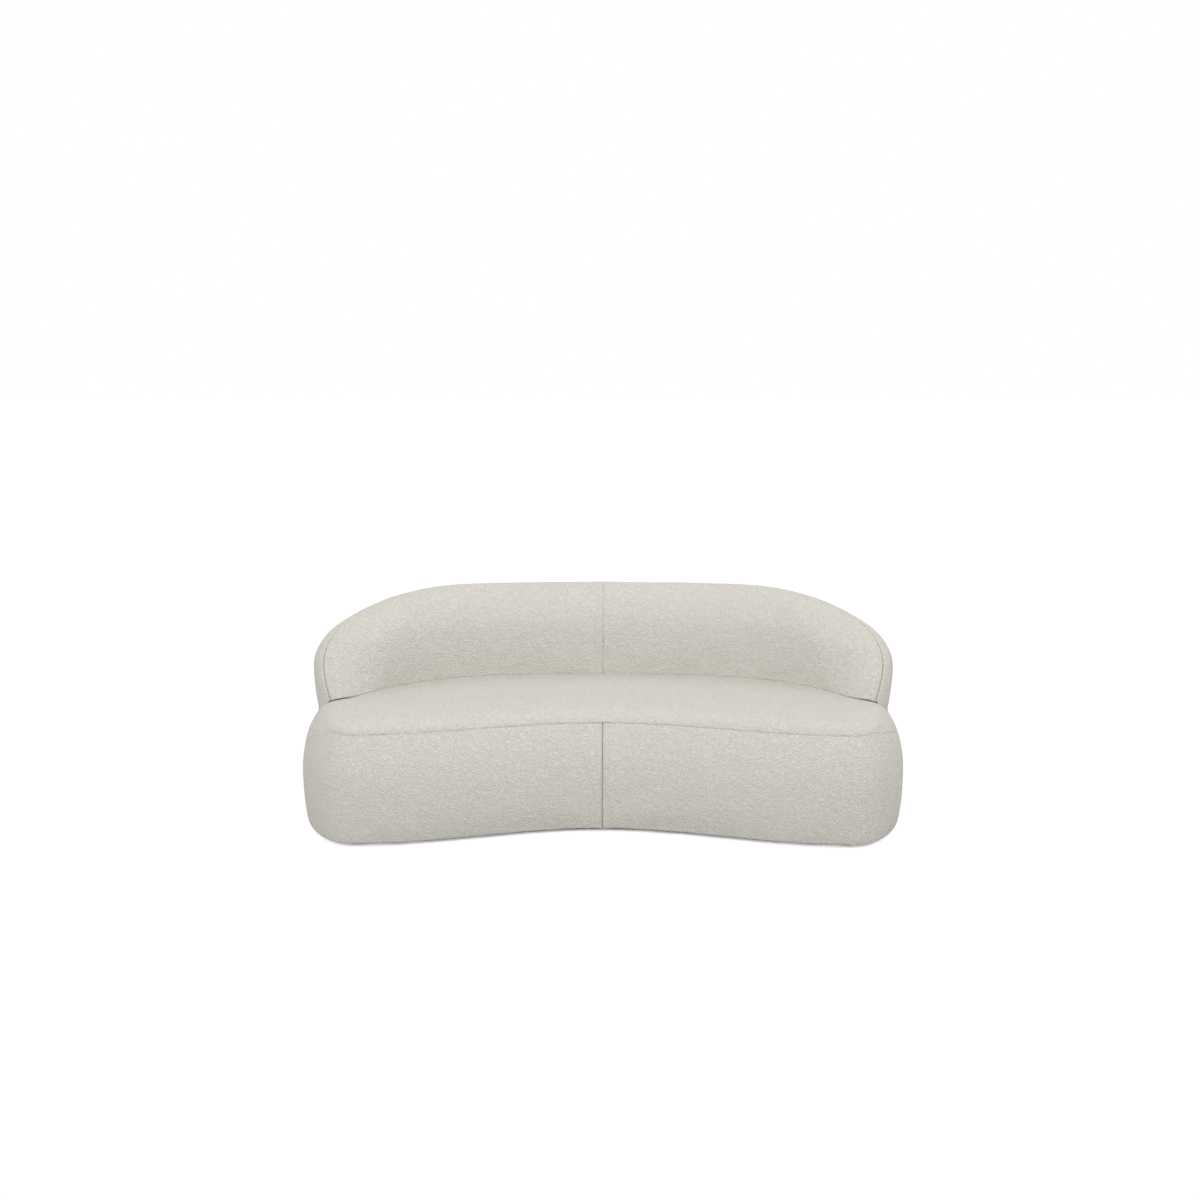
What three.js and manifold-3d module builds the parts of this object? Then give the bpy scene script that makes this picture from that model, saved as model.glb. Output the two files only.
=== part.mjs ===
import * as THREE from "three";
import Module from "manifold-3d";
import { mergeVertices } from "three/addons/utils/BufferGeometryUtils.js";

const wasm = await Module();
wasm.setup();

// Curved sofa: a kidney-shaped seat block, and a curved backrest standing on its rear rim.
// Millimetres, +Z up, the front towards -Y, the origin on the floor in the middle of the footprint.

// Plan of the seat block at its widest level. Y is counted here from the front of the lobes.
const sofa_width = 2210;
const sofa_depth = 985;
const front_recess = 143; // the middle of the front lies this far behind the lobes
const lobe_corner = 242; // from a lobe's foremost point out to the side
const widest_setback = 431; // from the lobes' front back to the widest points
const front_ease_share = 0.35; // how flat the front runs out of the middle and into a lobe
const lobe_round_share = 0.54;
const side_round_share = 0.535;
const rear_side_share = 0.58;
const rear_flat_share = 0.56;

// Heights of the seat block
const glide_height = 3;
const plinth_board = 12;
const band_height = 378; // from the underside up to the top seam
const crown_height = 42; // from the top seam up to the seat
const crown_rise = 8; // the middle of the seat over its flat rim
const bulge_height = 148; // from the underside up to the widest level

// Swell of the block's sides and the round of the seat's edge
const foot_inset = 11;
const foot_edge = 9; // radius of the turned-under lower edge
const foot_power_share = 2.8;
const seam_inset = 63;
const seam_power_share = 2.55;
const crown_reach = 96; // from the top seam inwards to the flat of the seat

// Upholstery
const fit_gap = 0.3;
const cover_thickness = 3; // boucle with its felt backing
const fold_ease_share = 0.6;
const seam_allowance = 2; // room under the cover of the back for the edges sewn inwards
const fold_width = 24; // the cover turned under and stapled
const side_board = 4; // bent plywood skin round the frame
const plywood = 18;

// Frame of the seat block
const frame_inset = 50; // from the widest outline in to the boards' edge
const board_width = 110;
const plinth_width = 60;
const dust_sheet = 1;
const upright_height = 216;
const upright_along = 60;
const upright_inward = 90;
const upright_setback = 8; // from the boards' edge, for the round of the skin
const rail_thickness = 28;
const rail_depth = 70;
const rail_bolt_gap = 8; // from the outer rails to the bolts' heads
const rail_places = [-1, 0, 1]; // counted from the middle
const rail_landing_share = 2 / 3; // of the boards' width, on which a rail's end lies
const webbing_width = 60;
const webbing_thickness = 2;
const webbing_pitch = 140;
const webbing_landing = 18; // how far a strap lies on the seat board
const webbing_rows = [-1, 0, 1]; // straps along the seat, counted from its middle
const glide_radius = 16;
const glide_chamfer = 1;

// Mid line of the backrest in plan, from its middle to the tip of its nose, placed from the block's
// outline beside it
const back_rear_inset = 183; // at the middle
const back_flat_lead = 289;
const back_bend_share = 0.48285; // along the rear curve of the outline, from the side
const back_bend_inset = 159.3;
const back_bend_turn = THREE.MathUtils.degToRad(3.93); // from the outline's direction
const back_bend_lead = 160;
const back_bend_follow = 243;
const back_tip_side_inset = 129;
const back_tip_ahead = 93; // of the widest points
const back_tip_lead = 163;
const back_tip_angle = THREE.MathUtils.degToRad(2);

// Section of the backrest
const back_rise = 339; // its top over the seat
const back_half_base = 112;
const back_flare = 69; // the outer face leans out this much
const back_flare_share = 0.4; // of the back's height, by which the flare is complete
const back_flare_power_share = 1.3;
const back_lean = 27; // the inner face leans back this much
const back_top_round = 139; // height over which front and rear round into the top
const back_end_round = 428; // height over which the ends come down
const back_end_lean = 29; // the noses draw back this much on the way up
const back_nose_share = 1.685; // length of a nose over its half width
const back_round_power_share = 1.69;
const back_end_power_share = 2.02;
const back_seat_gap = 2.8; // over the seat's sloping edge

// Frame and filling of the backrest
const rear_filling = 16;
const front_filling = 62;
const end_filling = 12; // foam round the frame's ends
const least_rib = 40;
const rib_clearance = 2; // over a rib and over the top rail, for the twist of their edges
const core_rise = 262; // top of the back frame over the seat
const rib_count = 7;
const rib_hole_width_share = 0.5;
const rib_hole_height_share = 0.55;
const post_size = 60;
const post_inset = 115; // from the widest outline in to the posts, over the seat board
const post_shares = [0.276, 0.719]; // along the mid line
const bolt_diameter = 8;
const bolt_clearance = 0.5;
const bolt_head_width = 26;
const bolt_head_height = 3;

// Facets
const front_steps = 6;
const corner_steps = 7;
const rear_steps = 11;
const back_steps = 11;
const nose_steps = 7;
const round_steps = 12;
const core_steps = 21;
const core_share_step = 0.005;
const outline_steps = 60;
const edge_seam_steps = 3; // from the top of the back down to the seam behind it
const nose_seam_steps = 3; // from a nose's outer side round to its seam
const upright_front_steps = 2; // places of the uprights, from where the outline's curves meet
const upright_lobe_steps = 3;
const upright_side_steps = 2;
const upright_rear_steps = 4;
const glide_lobe_steps = 1;
const glide_side_steps = 3;
const cut_overrun = 5;
const foam_folds = [90, 55];
const facet_shares = [0, 0.25, 0.5, 0.75, 1];
const mitre_share = 0.5; // the least that a corner's mitre is divided by
const steep_share = 0.6; // under this slope a face counts as lying, and its depth goes down
const weld_share = 0.001; // of the fit gap, by which points count as one

// Heights that follow
const base_bottom = glide_height + fit_gap + plinth_board + fit_gap;
const block_bottom = base_bottom - fit_gap - cover_thickness;
const seam_height = block_bottom + band_height;
const seat_height = seam_height + crown_height;
const widest_height = block_bottom + bulge_height;
const base_top = base_bottom + plywood;
const seat_board_bottom = base_top + fit_gap + upright_height + fit_gap;
const seat_board_top = seat_board_bottom + plywood;
const webbing_bottom = seat_board_top + fit_gap;
const seat_foam_bottom = webbing_bottom + webbing_thickness + fit_gap;
const crown_inset = seam_inset + crown_reach;
const back_top = seat_height + back_rise;

// Materials
const finish = (color, roughness, metalness = 0) =>
  new THREE.MeshStandardMaterial({ color, roughness, metalness });
const boucle = finish(0xd2cfc6, 0.95);
const foam = finish(0xe9dfb8, 0.9);
const plywood_finish = finish(0xc9a574, 0.7);
const pine = finish(0xd9b880, 0.75);
const black_board = finish(0x141414, 0.8);
const black_fabric = finish(0x1b1b1b, 0.95);
const webbing_fabric = finish(0x2b2a2a, 0.85);
const nylon = finish(0x2a2a2a, 0.5);
const zinc = finish(0xb9bcc0, 0.35, 0.9);

const sofa = new THREE.Group();
function add(name, geometry, material) {
  const mesh = new THREE.Mesh(geometry, material);
  mesh.name = name;
  mesh.position.y = -sofa_depth / 2; // from the lobes' front to the middle of the footprint
  sofa.add(mesh);
}

// Plan curves: half of the seat block's outline, and half of the backrest's mid line
const bezier = (...xy) =>
  new THREE.CubicBezierCurve(
    ...[0, 2, 4, 6].map((i) => new THREE.Vector2(xy[i], xy[i + 1])),
  );
const half_width = sofa_width / 2;
const back_mid_setback = sofa_depth - back_rear_inset;
const back_tip_x = half_width - back_tip_side_inset;
const back_tip_setback = widest_setback - back_tip_ahead;
const lobe_x = half_width - lobe_corner;
const ease = front_ease_share * lobe_x;
const rear_run = sofa_depth - widest_setback;
const outline_curves = [
  bezier(0, front_recess, ease, front_recess, lobe_x - ease, 0, lobe_x, 0),
  bezier(
    lobe_x, 0, lobe_x + lobe_round_share * lobe_corner, 0,
    half_width, widest_setback * (1 - side_round_share), half_width, widest_setback,
  ),
  bezier(
    half_width, widest_setback, half_width, widest_setback + rear_side_share * rear_run,
    rear_flat_share * half_width, sofa_depth, 0, sofa_depth,
  ),
];
const bend = outline_curves[2].getTangent(back_bend_share).negate();
const [back_bend_x, back_bend_setback] = outline_curves[2].getPoint(back_bend_share)
  .add(new THREE.Vector2(bend.y, -bend.x).multiplyScalar(back_bend_inset))
  .toArray();
bend.rotateAround(new THREE.Vector2(), -back_bend_turn);
const mid_line = new THREE.CurvePath();
mid_line.add(
  bezier(
    0, back_mid_setback, back_bend_x - back_flat_lead, back_mid_setback,
    back_bend_x - bend.x * back_bend_lead, back_bend_setback - bend.y * back_bend_lead,
    back_bend_x, back_bend_setback,
  ),
);
mid_line.add(
  bezier(
    back_bend_x, back_bend_setback,
    back_bend_x + bend.x * back_bend_follow, back_bend_setback + bend.y * back_bend_follow,
    back_tip_x - Math.sin(back_tip_angle) * back_tip_lead,
    back_tip_setback + Math.cos(back_tip_angle) * back_tip_lead,
    back_tip_x, back_tip_setback,
  ),
);
const mid_length = mid_line.getLength();

// Columns round the block: a point of the outline, its outward normal, and its point on the spine
const spine_reach_share = 0.62;
const spine_middle = (front_recess + sofa_depth) / 2;
const spine_end = widest_setback;
function outlineColumn(curve, t, side) {
  const p = curve.getPoint(t);
  const d = curve.getTangent(t);
  const x = spine_reach_share * p.x;
  const bow = (x / (spine_reach_share * half_width)) ** 2;
  return {
    p: new THREE.Vector2(side * p.x, p.y),
    n: new THREE.Vector2(side * d.y, -d.x),
    spine: new THREE.Vector2(side * x, spine_middle + (spine_end - spine_middle) * bow),
  };
}
const steps_along = [front_steps, corner_steps, rear_steps];
const right_half = [];
outline_curves.forEach((curve, c) => {
  for (let i = 0; i < steps_along[c]; i++)
    right_half.push([curve, i / steps_along[c]]);
});
right_half.push([outline_curves[2], 1]);
const half_steps = right_half.length - 1;
const columns = [
  ...right_half.map(([curve, t]) => outlineColumn(curve, t, 1)),
  ...right_half.slice(1, -1).reverse().map(([curve, t]) => outlineColumn(curve, t, -1)),
];

// A place at an inset from the outline. Past offset_reach it heads for the spine, so columns never cross.
const offset_reach = foot_inset + frame_inset;
function blockPoint(column, inset, z, share = 0) {
  const p = column.p.clone().addScaledVector(column.n, -Math.min(inset, offset_reach));
  const inward = column.spine.clone().sub(p);
  if (inset > offset_reach) p.addScaledVector(inward.normalize(), inset - offset_reach);
  p.lerp(column.spine, share);
  return new THREE.Vector3(p.x, p.y, z);
}

// The block's side and crown, as an inset for a height and a height for an inset
function bandInset(z) {
  const down = (widest_height - z) / bulge_height;
  if (down > 0) return foot_inset * down ** foot_power_share;
  return seam_inset * ((z - widest_height) / (seam_height - widest_height)) ** seam_power_share;
}
function crownZ(inset) {
  if (inset >= crown_inset) return seat_height;
  const out = (crown_inset - Math.max(inset, seam_inset)) / crown_reach;
  return seam_height + crown_height * Math.sqrt(1 - out * out);
}
// Distance from a place in plan to the nearest point of the outline
const outline_samples = outline_curves.flatMap((curve) => curve.getPoints(outline_steps));
function insetAt(x, y) {
  const here = new THREE.Vector2(Math.abs(x), y);
  return Math.min(...outline_samples.map((p) => p.distanceTo(here)));
}

// Profile of the block from the fold under its edge to the seam, and from the seam to the spine
const lower_shares = [0.12, 0.4, 0.7, 1];
const upper_shares = [0.35, 0.65, 0.85, 1];
const band_profile = [
  { inset: foot_inset + foot_edge + fold_width, z: block_bottom },
  { inset: foot_inset + foot_edge, z: block_bottom },
  ...lower_shares.map((share) => block_bottom + share * bulge_height).map(onBand),
  ...upper_shares.map((share) => widest_height + share * (seam_height - widest_height)).map(onBand),
];
function onBand(z) {
  return { inset: bandInset(z), z };
}
const crown_turns = [22, 45, 67, 90];
const spine_shares = [0.56, 0.85];
const crown_profile = [
  ...crown_turns.map((degrees) => {
    const turn = THREE.MathUtils.degToRad(degrees);
    return {
      inset: crown_inset - crown_reach * Math.cos(turn),
      z: seam_height + crown_height * Math.sin(turn),
    };
  }),
  ...spine_shares.map((share, i) => ({
    inset: crown_inset,
    share,
    z: seat_height + (crown_rise * i) / (spine_shares.length - 1),
  })),
];
const block_profile = [...band_profile, ...crown_profile];
const seam_row = band_profile.length - 1;

// The same profile drawn in by a depth, with its corners mitred
function drawnIn(profile, depth, x = "inset") {
  return profile.map((point, i) => {
    const before = profile[Math.max(i - 1, 0)];
    const after = profile[Math.min(i + 1, profile.length - 1)];
    const a = new THREE.Vector2(point[x] - before[x], point.z - before.z);
    const b = new THREE.Vector2(after[x] - point[x], after.z - point.z);
    if (i === 0) a.copy(b);
    if (i === profile.length - 1 || point.share) b.set(1, 0);
    if (point.share) a.set(1, 0);
    const normal = a.normalize().add(b.normalize()).normalize();
    const reach = depth / Math.max(normal.dot(b), mitre_share);
    return { ...point, [x]: point[x] + normal.y * reach, z: point.z - normal.x * reach };
  });
}
const blockRows = (profile) =>
  profile.map(({ inset, z, share }) => columns.map((column) => blockPoint(column, inset, z, share)));

// Closed body from triangles over a list of points, turned so that its faces point out
function body(points, faces) {
  let volume = 0;
  for (const [a, b, c] of faces) volume += points[a].dot(points[b].clone().cross(points[c]));
  const geometry = new THREE.BufferGeometry().setFromPoints(points);
  geometry.setIndex(faces.flatMap(([a, b, c]) => (volume < 0 ? [a, c, b] : [a, b, c])));
  return geometry;
}
// Triangles of a flat polygon, seen along the axis it faces most, in the order of its corners
function flatFaces(points, indices) {
  const normal = new THREE.Vector3();
  indices.forEach((index, i) => {
    const next = indices[(i + 1) % indices.length];
    normal.add(points[index].clone().cross(points[next]));
  });
  const [x, y, z] = [normal.x, normal.y, normal.z].map(Math.abs);
  const [u, v] = z >= Math.max(x, y) ? ["x", "y"] : y >= x ? ["x", "z"] : ["y", "z"];
  const contour = indices.map((i) => new THREE.Vector2(points[i][u], points[i][v]));
  const triangles = THREE.ShapeUtils.triangulateShape(contour, []);
  const forward = triangles.some((face) =>
    face.some((a, i) => (a + 1) % indices.length === face[(i + 1) % face.length]),
  );
  return triangles.map((face) => (forward ? face : [...face].reverse()).map((i) => indices[i]));
}
// Body through rings of equally many points, closed into itself or with flat ends
function loft(rings, closed = false) {
  const count = rings[0].length;
  const points = rings.flat();
  const faces = [];
  const last = closed ? rings.length : rings.length - 1;
  for (let r = 0; r < last; r++)
    for (let i = 0; i < count; i++) {
      const [a, b] = [r * count + i, r * count + ((i + 1) % count)];
      const up = ((r + 1) % rings.length) * count;
      const [c, d] = [up + ((i + 1) % count), up + i];
      faces.push([a, b, c], [a, c, d]);
    }
  if (!closed) {
    const first = rings[0].map((_, i) => i);
    const top = first.map((i) => points.length - count + i);
    faces.push(...flatFaces(points, first).map((face) => face.reverse()), ...flatFaces(points, top));
  }
  return body(points, faces);
}
// Section of insets and heights carried along some of the block's columns
function carried(section, from, to) {
  const rings = [];
  for (let c = from; c <= to; c++) {
    const column = columns[(c + columns.length) % columns.length];
    rings.push(section.map(({ inset, z }) => blockPoint(column, inset, z)));
  }
  for (const [end, inner] of [[0, 1], [rings.length - 1, rings.length - 2]])
    rings[end] = rings[end].map((p, i) => {
      const along = rings[inner][i].clone().sub(p);
      return p.clone().addScaledVector(along.normalize(), fit_gap / 2);
    });
  return loft(rings);
}
const bar = (outer, inner, bottom, top) => [
  { inset: outer, z: bottom },
  { inset: outer, z: top },
  { inset: inner, z: top },
  { inset: inner, z: bottom },
];
// Ring round all columns with the same section
const ring = (section) =>
  loft(columns.map((column) => section.map(({ inset, z }) => blockPoint(column, inset, z))), true);

// Sheet over some faces of a surface, kept half a gap back from its seams
function sheet(outer, inner, faces) {
  const edges = new Map();
  for (const face of faces)
    face.forEach((a, i) => {
      const b = face[(i + 1) % face.length];
      edges.set(a + "," + b, { a, b, face });
    });
  const seams = [...edges.values()].filter(({ a, b }) => !edges.has(b + "," + a));
  const inwards = new Map();
  for (const { a, b, face } of seams) {
    const edge = outer[b].clone().sub(outer[a]);
    const inward = face.reduce((sum, v) => sum.add(outer[v]), new THREE.Vector3());
    inward.divideScalar(face.length).sub(outer[a]).projectOnPlane(edge.normalize()).normalize();
    for (const v of [a, b]) inwards.set(v, [...(inwards.get(v) ?? []), inward]);
  }
  const used = [...new Set(faces.flat())];
  const place = new Map(used.map((v, i) => [v, i]));
  const drawnBack = (surface) =>
    used.map((v) => {
      const ways = inwards.get(v);
      if (!ways) return surface[v].clone();
      const mitre = fit_gap / 2 / (1 + Math.max(0, ways[0].dot(ways[1])));
      return surface[v].clone().addScaledVector(ways[0].clone().add(ways[1]), mitre);
    });
  const points = [...drawnBack(outer), ...drawnBack(inner)];
  const under = used.length;
  const triangles = [];
  for (const face of faces)
    for (let i = 1; i + 1 < face.length; i++) {
      const [a, b, c] = [face[0], face[i], face[i + 1]].map((v) => place.get(v));
      triangles.push([a, b, c], [under + a, under + c, under + b]);
    }
  for (const { a, b } of seams) {
    const [v, w] = [place.get(a), place.get(b)];
    // both sides of a seam split its wall along the same diagonal
    if (a < b) triangles.push([w, v, under + v], [w, under + v, under + w]);
    else triangles.push([w, v, under + w], [v, under + v, under + w]);
  }
  return body(points, triangles);
}

// Solids for cutting and joining
function solid(geometry) {
  const bare = new THREE.BufferGeometry().setAttribute("position", geometry.getAttribute("position"));
  bare.setIndex(geometry.index);
  const merged = mergeVertices(bare, fit_gap * weld_share);
  return new wasm.Manifold(
    new wasm.Mesh({
      numProp: 3,
      vertProperties: new Float32Array(merged.attributes.position.array),
      triVerts: new Uint32Array(merged.index.array),
    }),
  );
}
function geometryOf(made) {
  const { numProp, vertProperties, triVerts } = made.getMesh();
  const positions = new Float32Array((vertProperties.length / numProp) * 3);
  for (let i = 0; i < positions.length / 3; i++)
    for (let k = 0; k < 3; k++) positions[3 * i + k] = vertProperties[numProp * i + k];
  const geometry = new THREE.BufferGeometry();
  geometry.setAttribute("position", new THREE.BufferAttribute(positions, 3));
  geometry.setIndex([...triVerts]);
  return geometry;
}
const cut = (geometry, ...tools) =>
  geometryOf(tools.reduce((made, tool) => made.subtract(solid(tool)), solid(geometry)));
const joined = (geometries) =>
  geometryOf(geometries.map(solid).reduce((made, next) => made.add(next)));
const between = (x0, x1, y0, y1, z0, z1) =>
  new THREE.BoxGeometry(x1 - x0, y1 - y0, z1 - z0)
    .translate((x0 + x1) / 2, (y0 + y1) / 2, (z0 + z1) / 2);

// Stations along the backrest: a place beside the mid line, outwards positive
function beside(reach, out, z) {
  const side = Math.sign(reach) || 1;
  const along = Math.min(Math.abs(reach), mid_length);
  const t = along / mid_length;
  const p = mid_line.getPoint(t);
  const d = mid_line.getTangent(t);
  p.addScaledVector(d, Math.abs(reach) - along);
  p.x += d.y * -out;
  p.y += d.x * out;
  return new THREE.Vector3(side * p.x, p.y, z);
}
function stationAngle(reach) {
  const d = mid_line.getTangent(Math.min(Math.abs(reach) / mid_length, 1));
  return (Math.sign(reach) || 1) * Math.atan2(d.y, d.x);
}

// Section of the backrest at a height share: its faces beside the mid line and its nose's reach
const back_wall_shares = [0.2, 0.4];
const back_turns = [0, 18, 36, 52, 66, 76, 85];
const round_start_share = 1 - back_top_round / back_rise;
function roundIn(rise_share, height, power) {
  const up = Math.max(0, 1 - ((1 - rise_share) * back_rise) / height);
  return 1 - Math.max(0, 1 - up ** power) ** (1 / power);
}
function backSection(share) {
  const flare = 1 - Math.max(0, 1 - share / back_flare_share) ** back_flare_power_share;
  const outer = back_half_base + back_flare * flare;
  const inner = back_half_base - back_lean * share;
  const middle = (outer - inner) / 2;
  const full = (outer + inner) / 2;
  const half = full * (1 - roundIn(share, back_top_round, back_round_power_share));
  const drawn = back_end_lean * share + back_end_round * roundIn(share, back_end_round, back_end_power_share);
  const shoulder = mid_length - drawn - back_nose_share * full;
  return { middle, half, shoulder, nose: back_nose_share * half, z: seat_height + back_rise * share };
}
const back_levels = [
  0,
  ...back_wall_shares.map((share) => share * round_start_share * 2),
  ...back_turns.map((degrees) => {
    const up = Math.sin(THREE.MathUtils.degToRad(degrees)) ** (2 / back_round_power_share);
    return round_start_share + (1 - round_start_share) * up;
  }),
].map(backSection);

// Columns round the backrest: along the outer face, round the nose, and back along the inner face
const back_columns = [];
for (let i = 0; i < back_steps; i++) back_columns.push({ along: i / back_steps, turn: -90 });
for (let i = 0; i <= nose_steps; i++) back_columns.push({ along: 1, turn: -90 + (180 * i) / nose_steps });
for (let i = back_steps - 1; i >= 0; i--) back_columns.push({ along: i / back_steps, turn: 90 });
const back_half_columns = back_columns.length;
const back_round = [
  ...back_columns.map((column) => ({ ...column, side: 1 })),
  ...back_columns.slice(1, -1).reverse().map((column) => ({ ...column, side: -1 })),
];

// One point of the backrest's surface, at a depth under it
function backPoint({ along, turn, side }, level, depth, lift = 0) {
  const angle = THREE.MathUtils.degToRad(turn);
  const steep = backSlope(level);
  const half = Math.max(level.half - depth * steep.face, fit_gap);
  const nose = Math.max(level.nose - depth * steep.end, fit_gap);
  const reach = along * level.shoulder + (along === 1 ? nose * Math.cos(angle) : 0);
  const out = level.middle - half * Math.sin(angle);
  const drop = depth * (steep.drop * Math.abs(Math.sin(angle)) + steep.end_drop * Math.cos(angle) ** 2);
  const point = beside(side * Math.max(reach, 0), out, level.z - drop + lift);
  if (reach === 0) point.x = 0;
  return point;
}
// How a depth under the surface shares out between sideways and down at a level
function backSlope(level) {
  const i = back_levels.indexOf(level);
  const below = back_levels[Math.max(i - 1, 0)];
  const above = back_levels[Math.min(i + 1, back_levels.length - 1)];
  const rise = above.z - below.z;
  const face = new THREE.Vector2(rise, below.half - above.half).normalize();
  const tip = (l) => l.shoulder + l.nose;
  const end = new THREE.Vector2(rise, tip(below) - tip(above)).normalize();
  if (i === 0) return { face: 1, drop: 0, end: 1, end_drop: 0 };
  return {
    face: 1 / Math.max(face.x, steep_share),
    drop: face.x < steep_share ? face.y : 0,
    end: 1 / Math.max(end.x, steep_share),
    end_drop: end.x < steep_share ? end.y : 0,
  };
}
// The lowest rows lie on the seat: the edge, and the folds turned in under it
function restingZ({ x, y }) {
  const inset = insetAt(x, y);
  const over = inset < crown_inset ? back_seat_gap : fit_gap;
  return Math.min(crownZ(inset) + over, seat_height + fit_gap);
}
function footPoint({ along, turn, side }, drawn) {
  const level = back_levels[0];
  const angle = THREE.MathUtils.degToRad(turn);
  const reach = along * level.shoulder + (along === 1 ? (level.nose - drawn) * Math.cos(angle) : 0);
  const point = beside(side * reach, level.middle - (level.half - drawn) * Math.sin(angle), 0);
  if (reach === 0) point.x = 0;
  return point.setZ(restingZ(point));
}
// Each is lifted where the facets between its points would cut through the crown
const foot_draws = [...foam_folds, fold_width, 0];
const foot_rows = foot_draws.map((drawn) => back_round.map((column) => footPoint(column, drawn)));
const foot_lifts = foot_rows.map((row) => row.map(() => 0));
for (let r = 1; r < foot_rows.length; r++)
  back_round.forEach((_, c) => {
    const d = (c + 1) % back_round.length;
    const [a, b, e, f] = [foot_rows[r - 1][c], foot_rows[r - 1][d], foot_rows[r][c], foot_rows[r][d]];
    let lack = 0;
    for (const u of facet_shares)
      for (const v of facet_shares) {
        const p = a.clone().lerp(b, u).lerp(e.clone().lerp(f, u), v);
        lack = Math.max(lack, restingZ(p) - p.z);
      }
    for (const [row, column] of [[r - 1, c], [r - 1, d], [r, c], [r, d]])
      foot_lifts[row][column] = Math.max(foot_lifts[row][column], lack);
  });
// The filling keeps clear of the sloping fold under it
const footRows = (depth, from) =>
  foot_draws.slice(from).map((drawn, r) =>
    back_round.map((column, c) => {
      const point = footPoint(column, Math.max(drawn, depth));
      const over_fold = fold_ease_share * Math.max(0, depth - cover_thickness);
      return point.setZ(point.z + foot_lifts[from + r][c] + depth + over_fold);
    }),
  );
const backRows = (depth, from) => [
  ...footRows(depth, from),
  ...back_levels.slice(1).map((level) => back_round.map((column) => backPoint(column, level, depth))),
];

// Faces between rows, and the strip that closes the top between outer and inner columns
function rowFaces(count, from, to, keep = () => true) {
  const faces = [];
  for (let r = from; r < to; r++)
    for (let c = 0; c < count; c++)
      if (keep(r, c)) {
        const d = (c + 1) % count;
        faces.push([r * count + c, r * count + d, (r + 1) * count + d, (r + 1) * count + c]);
      }
  return faces;
}
const mirrored = (c) => (back_round.length - c) % back_round.length;
function stripFaces(row, side) {
  const faces = [];
  const at = (c) => row * back_round.length + (side > 0 ? c : mirrored(c));
  const across = back_half_columns - 1;
  for (let c = 0; 2 * c + 1 < across; c++) {
    const face = [at(c), at(c + 1), at(across - c - 1), at(across - c)];
    const unique = face.filter((v, i) => face.indexOf(v) === i);
    faces.push(side > 0 ? unique : unique.reverse());
  }
  return faces;
}

// Seat block, from the floor up

const underside_inset = foot_inset + foot_edge + fold_width + fit_gap;
const plinth_section = bar(
  underside_inset, underside_inset + plinth_width,
  glide_height + fit_gap, base_bottom - fit_gap,
);
add("plinth_right", carried(plinth_section, 0, half_steps), black_board);
add("plinth_left", carried(plinth_section, half_steps, columns.length), black_board);

const glide_profile = [
  [0, 0],
  [glide_radius - glide_chamfer, 0],
  [glide_radius, glide_chamfer],
  [glide_radius, glide_height],
  [0, glide_height],
].map(([r, z]) => new THREE.Vector2(r, z));
const lobe_column = front_steps + glide_lobe_steps;
const side_column = front_steps + corner_steps + glide_side_steps;
const glide_columns = [
  0, lobe_column, side_column, half_steps, columns.length - side_column, columns.length - lobe_column,
];
glide_columns.forEach((c, i) => {
  const at = blockPoint(columns[c], underside_inset + plinth_width / 2, 0);
  const glide = new THREE.LatheGeometry(glide_profile, round_steps).rotateX(Math.PI / 2);
  add("glide_" + (i + 1), glide.translate(at.x, at.y, 0), nylon);
});

const dust_inset = underside_inset + plinth_width + fit_gap;
const dust_top = base_bottom - fit_gap;
add(
  "dust_cover",
  loft(blockRows([{ inset: dust_inset, z: dust_top - dust_sheet }, { inset: dust_inset, z: dust_top }])),
  black_fabric,
);

const board_inner = frame_inset + board_width;
add("base_board", ring(bar(frame_inset, board_inner, base_bottom, base_top)), plywood_finish);

// Uprights stand between the boards, square to the outline
const upright_columns = [
  front_steps - upright_front_steps,
  front_steps + upright_lobe_steps,
  front_steps + corner_steps + upright_side_steps,
  half_steps - upright_rear_steps,
];
function standing(column, inset, along, inward, bottom, top) {
  const at = column.p.clone().addScaledVector(column.n, -inset - inward / 2);
  const box = new THREE.BoxGeometry(along, inward, top - bottom);
  box.rotateZ(Math.atan2(column.n.y, column.n.x) - Math.PI / 2);
  return box.translate(at.x, at.y, (bottom + top) / 2);
}
upright_columns.forEach((c, i) => {
  for (const [side, at] of [["right", c], ["left", columns.length - c]]) {
    const post = standing(
      columns[at], frame_inset + upright_setback, upright_along, upright_inward,
      base_top + fit_gap, seat_board_bottom - fit_gap,
    );
    add("upright_" + side + "_" + (i + 1), post, pine);
  }
});

// Where a line across the plan meets the outline drawn in by an inset
function crossings(inset, axis, value) {
  const line = columns.map((column) => blockPoint(column, inset, 0));
  const other = axis === "x" ? "y" : "x";
  const found = [];
  line.forEach((a, i) => {
    const b = line[(i + 1) % line.length];
    if ((a[axis] - value) * (b[axis] - value) > 0 || a[axis] === b[axis]) return;
    found.push(a[other] + ((b[other] - a[other]) * (value - a[axis])) / (b[axis] - a[axis]));
  });
  return [Math.min(...found), Math.max(...found)];
}
// Places of the posts that carry the backrest, the first one on the right nearest the middle
const posts = post_shares.flatMap((share) => [share * mid_length, -share * mid_length]);
function postOut(reach) {
  const { x, y } = beside(reach, 0, 0);
  return insetAt(x, y) - post_inset;
}
const rail_top = seat_board_bottom - fit_gap;
const rail_spacing =
  beside(posts[0], postOut(posts[0]), 0).x - bolt_head_width / 2 - rail_bolt_gap - rail_thickness / 2;
const rail_inset = board_inner - rail_landing_share * board_width;
rail_places.forEach((place, i) => {
  const x = place * rail_spacing;
  const [front, rear] = crossings(rail_inset, "x", x);
  const half = rail_thickness / 2;
  const rail = between(x - half, x + half, front, rear, rail_top - rail_depth, rail_top);
  add("cross_rail_" + (i + 1), rail, pine);
});

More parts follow.
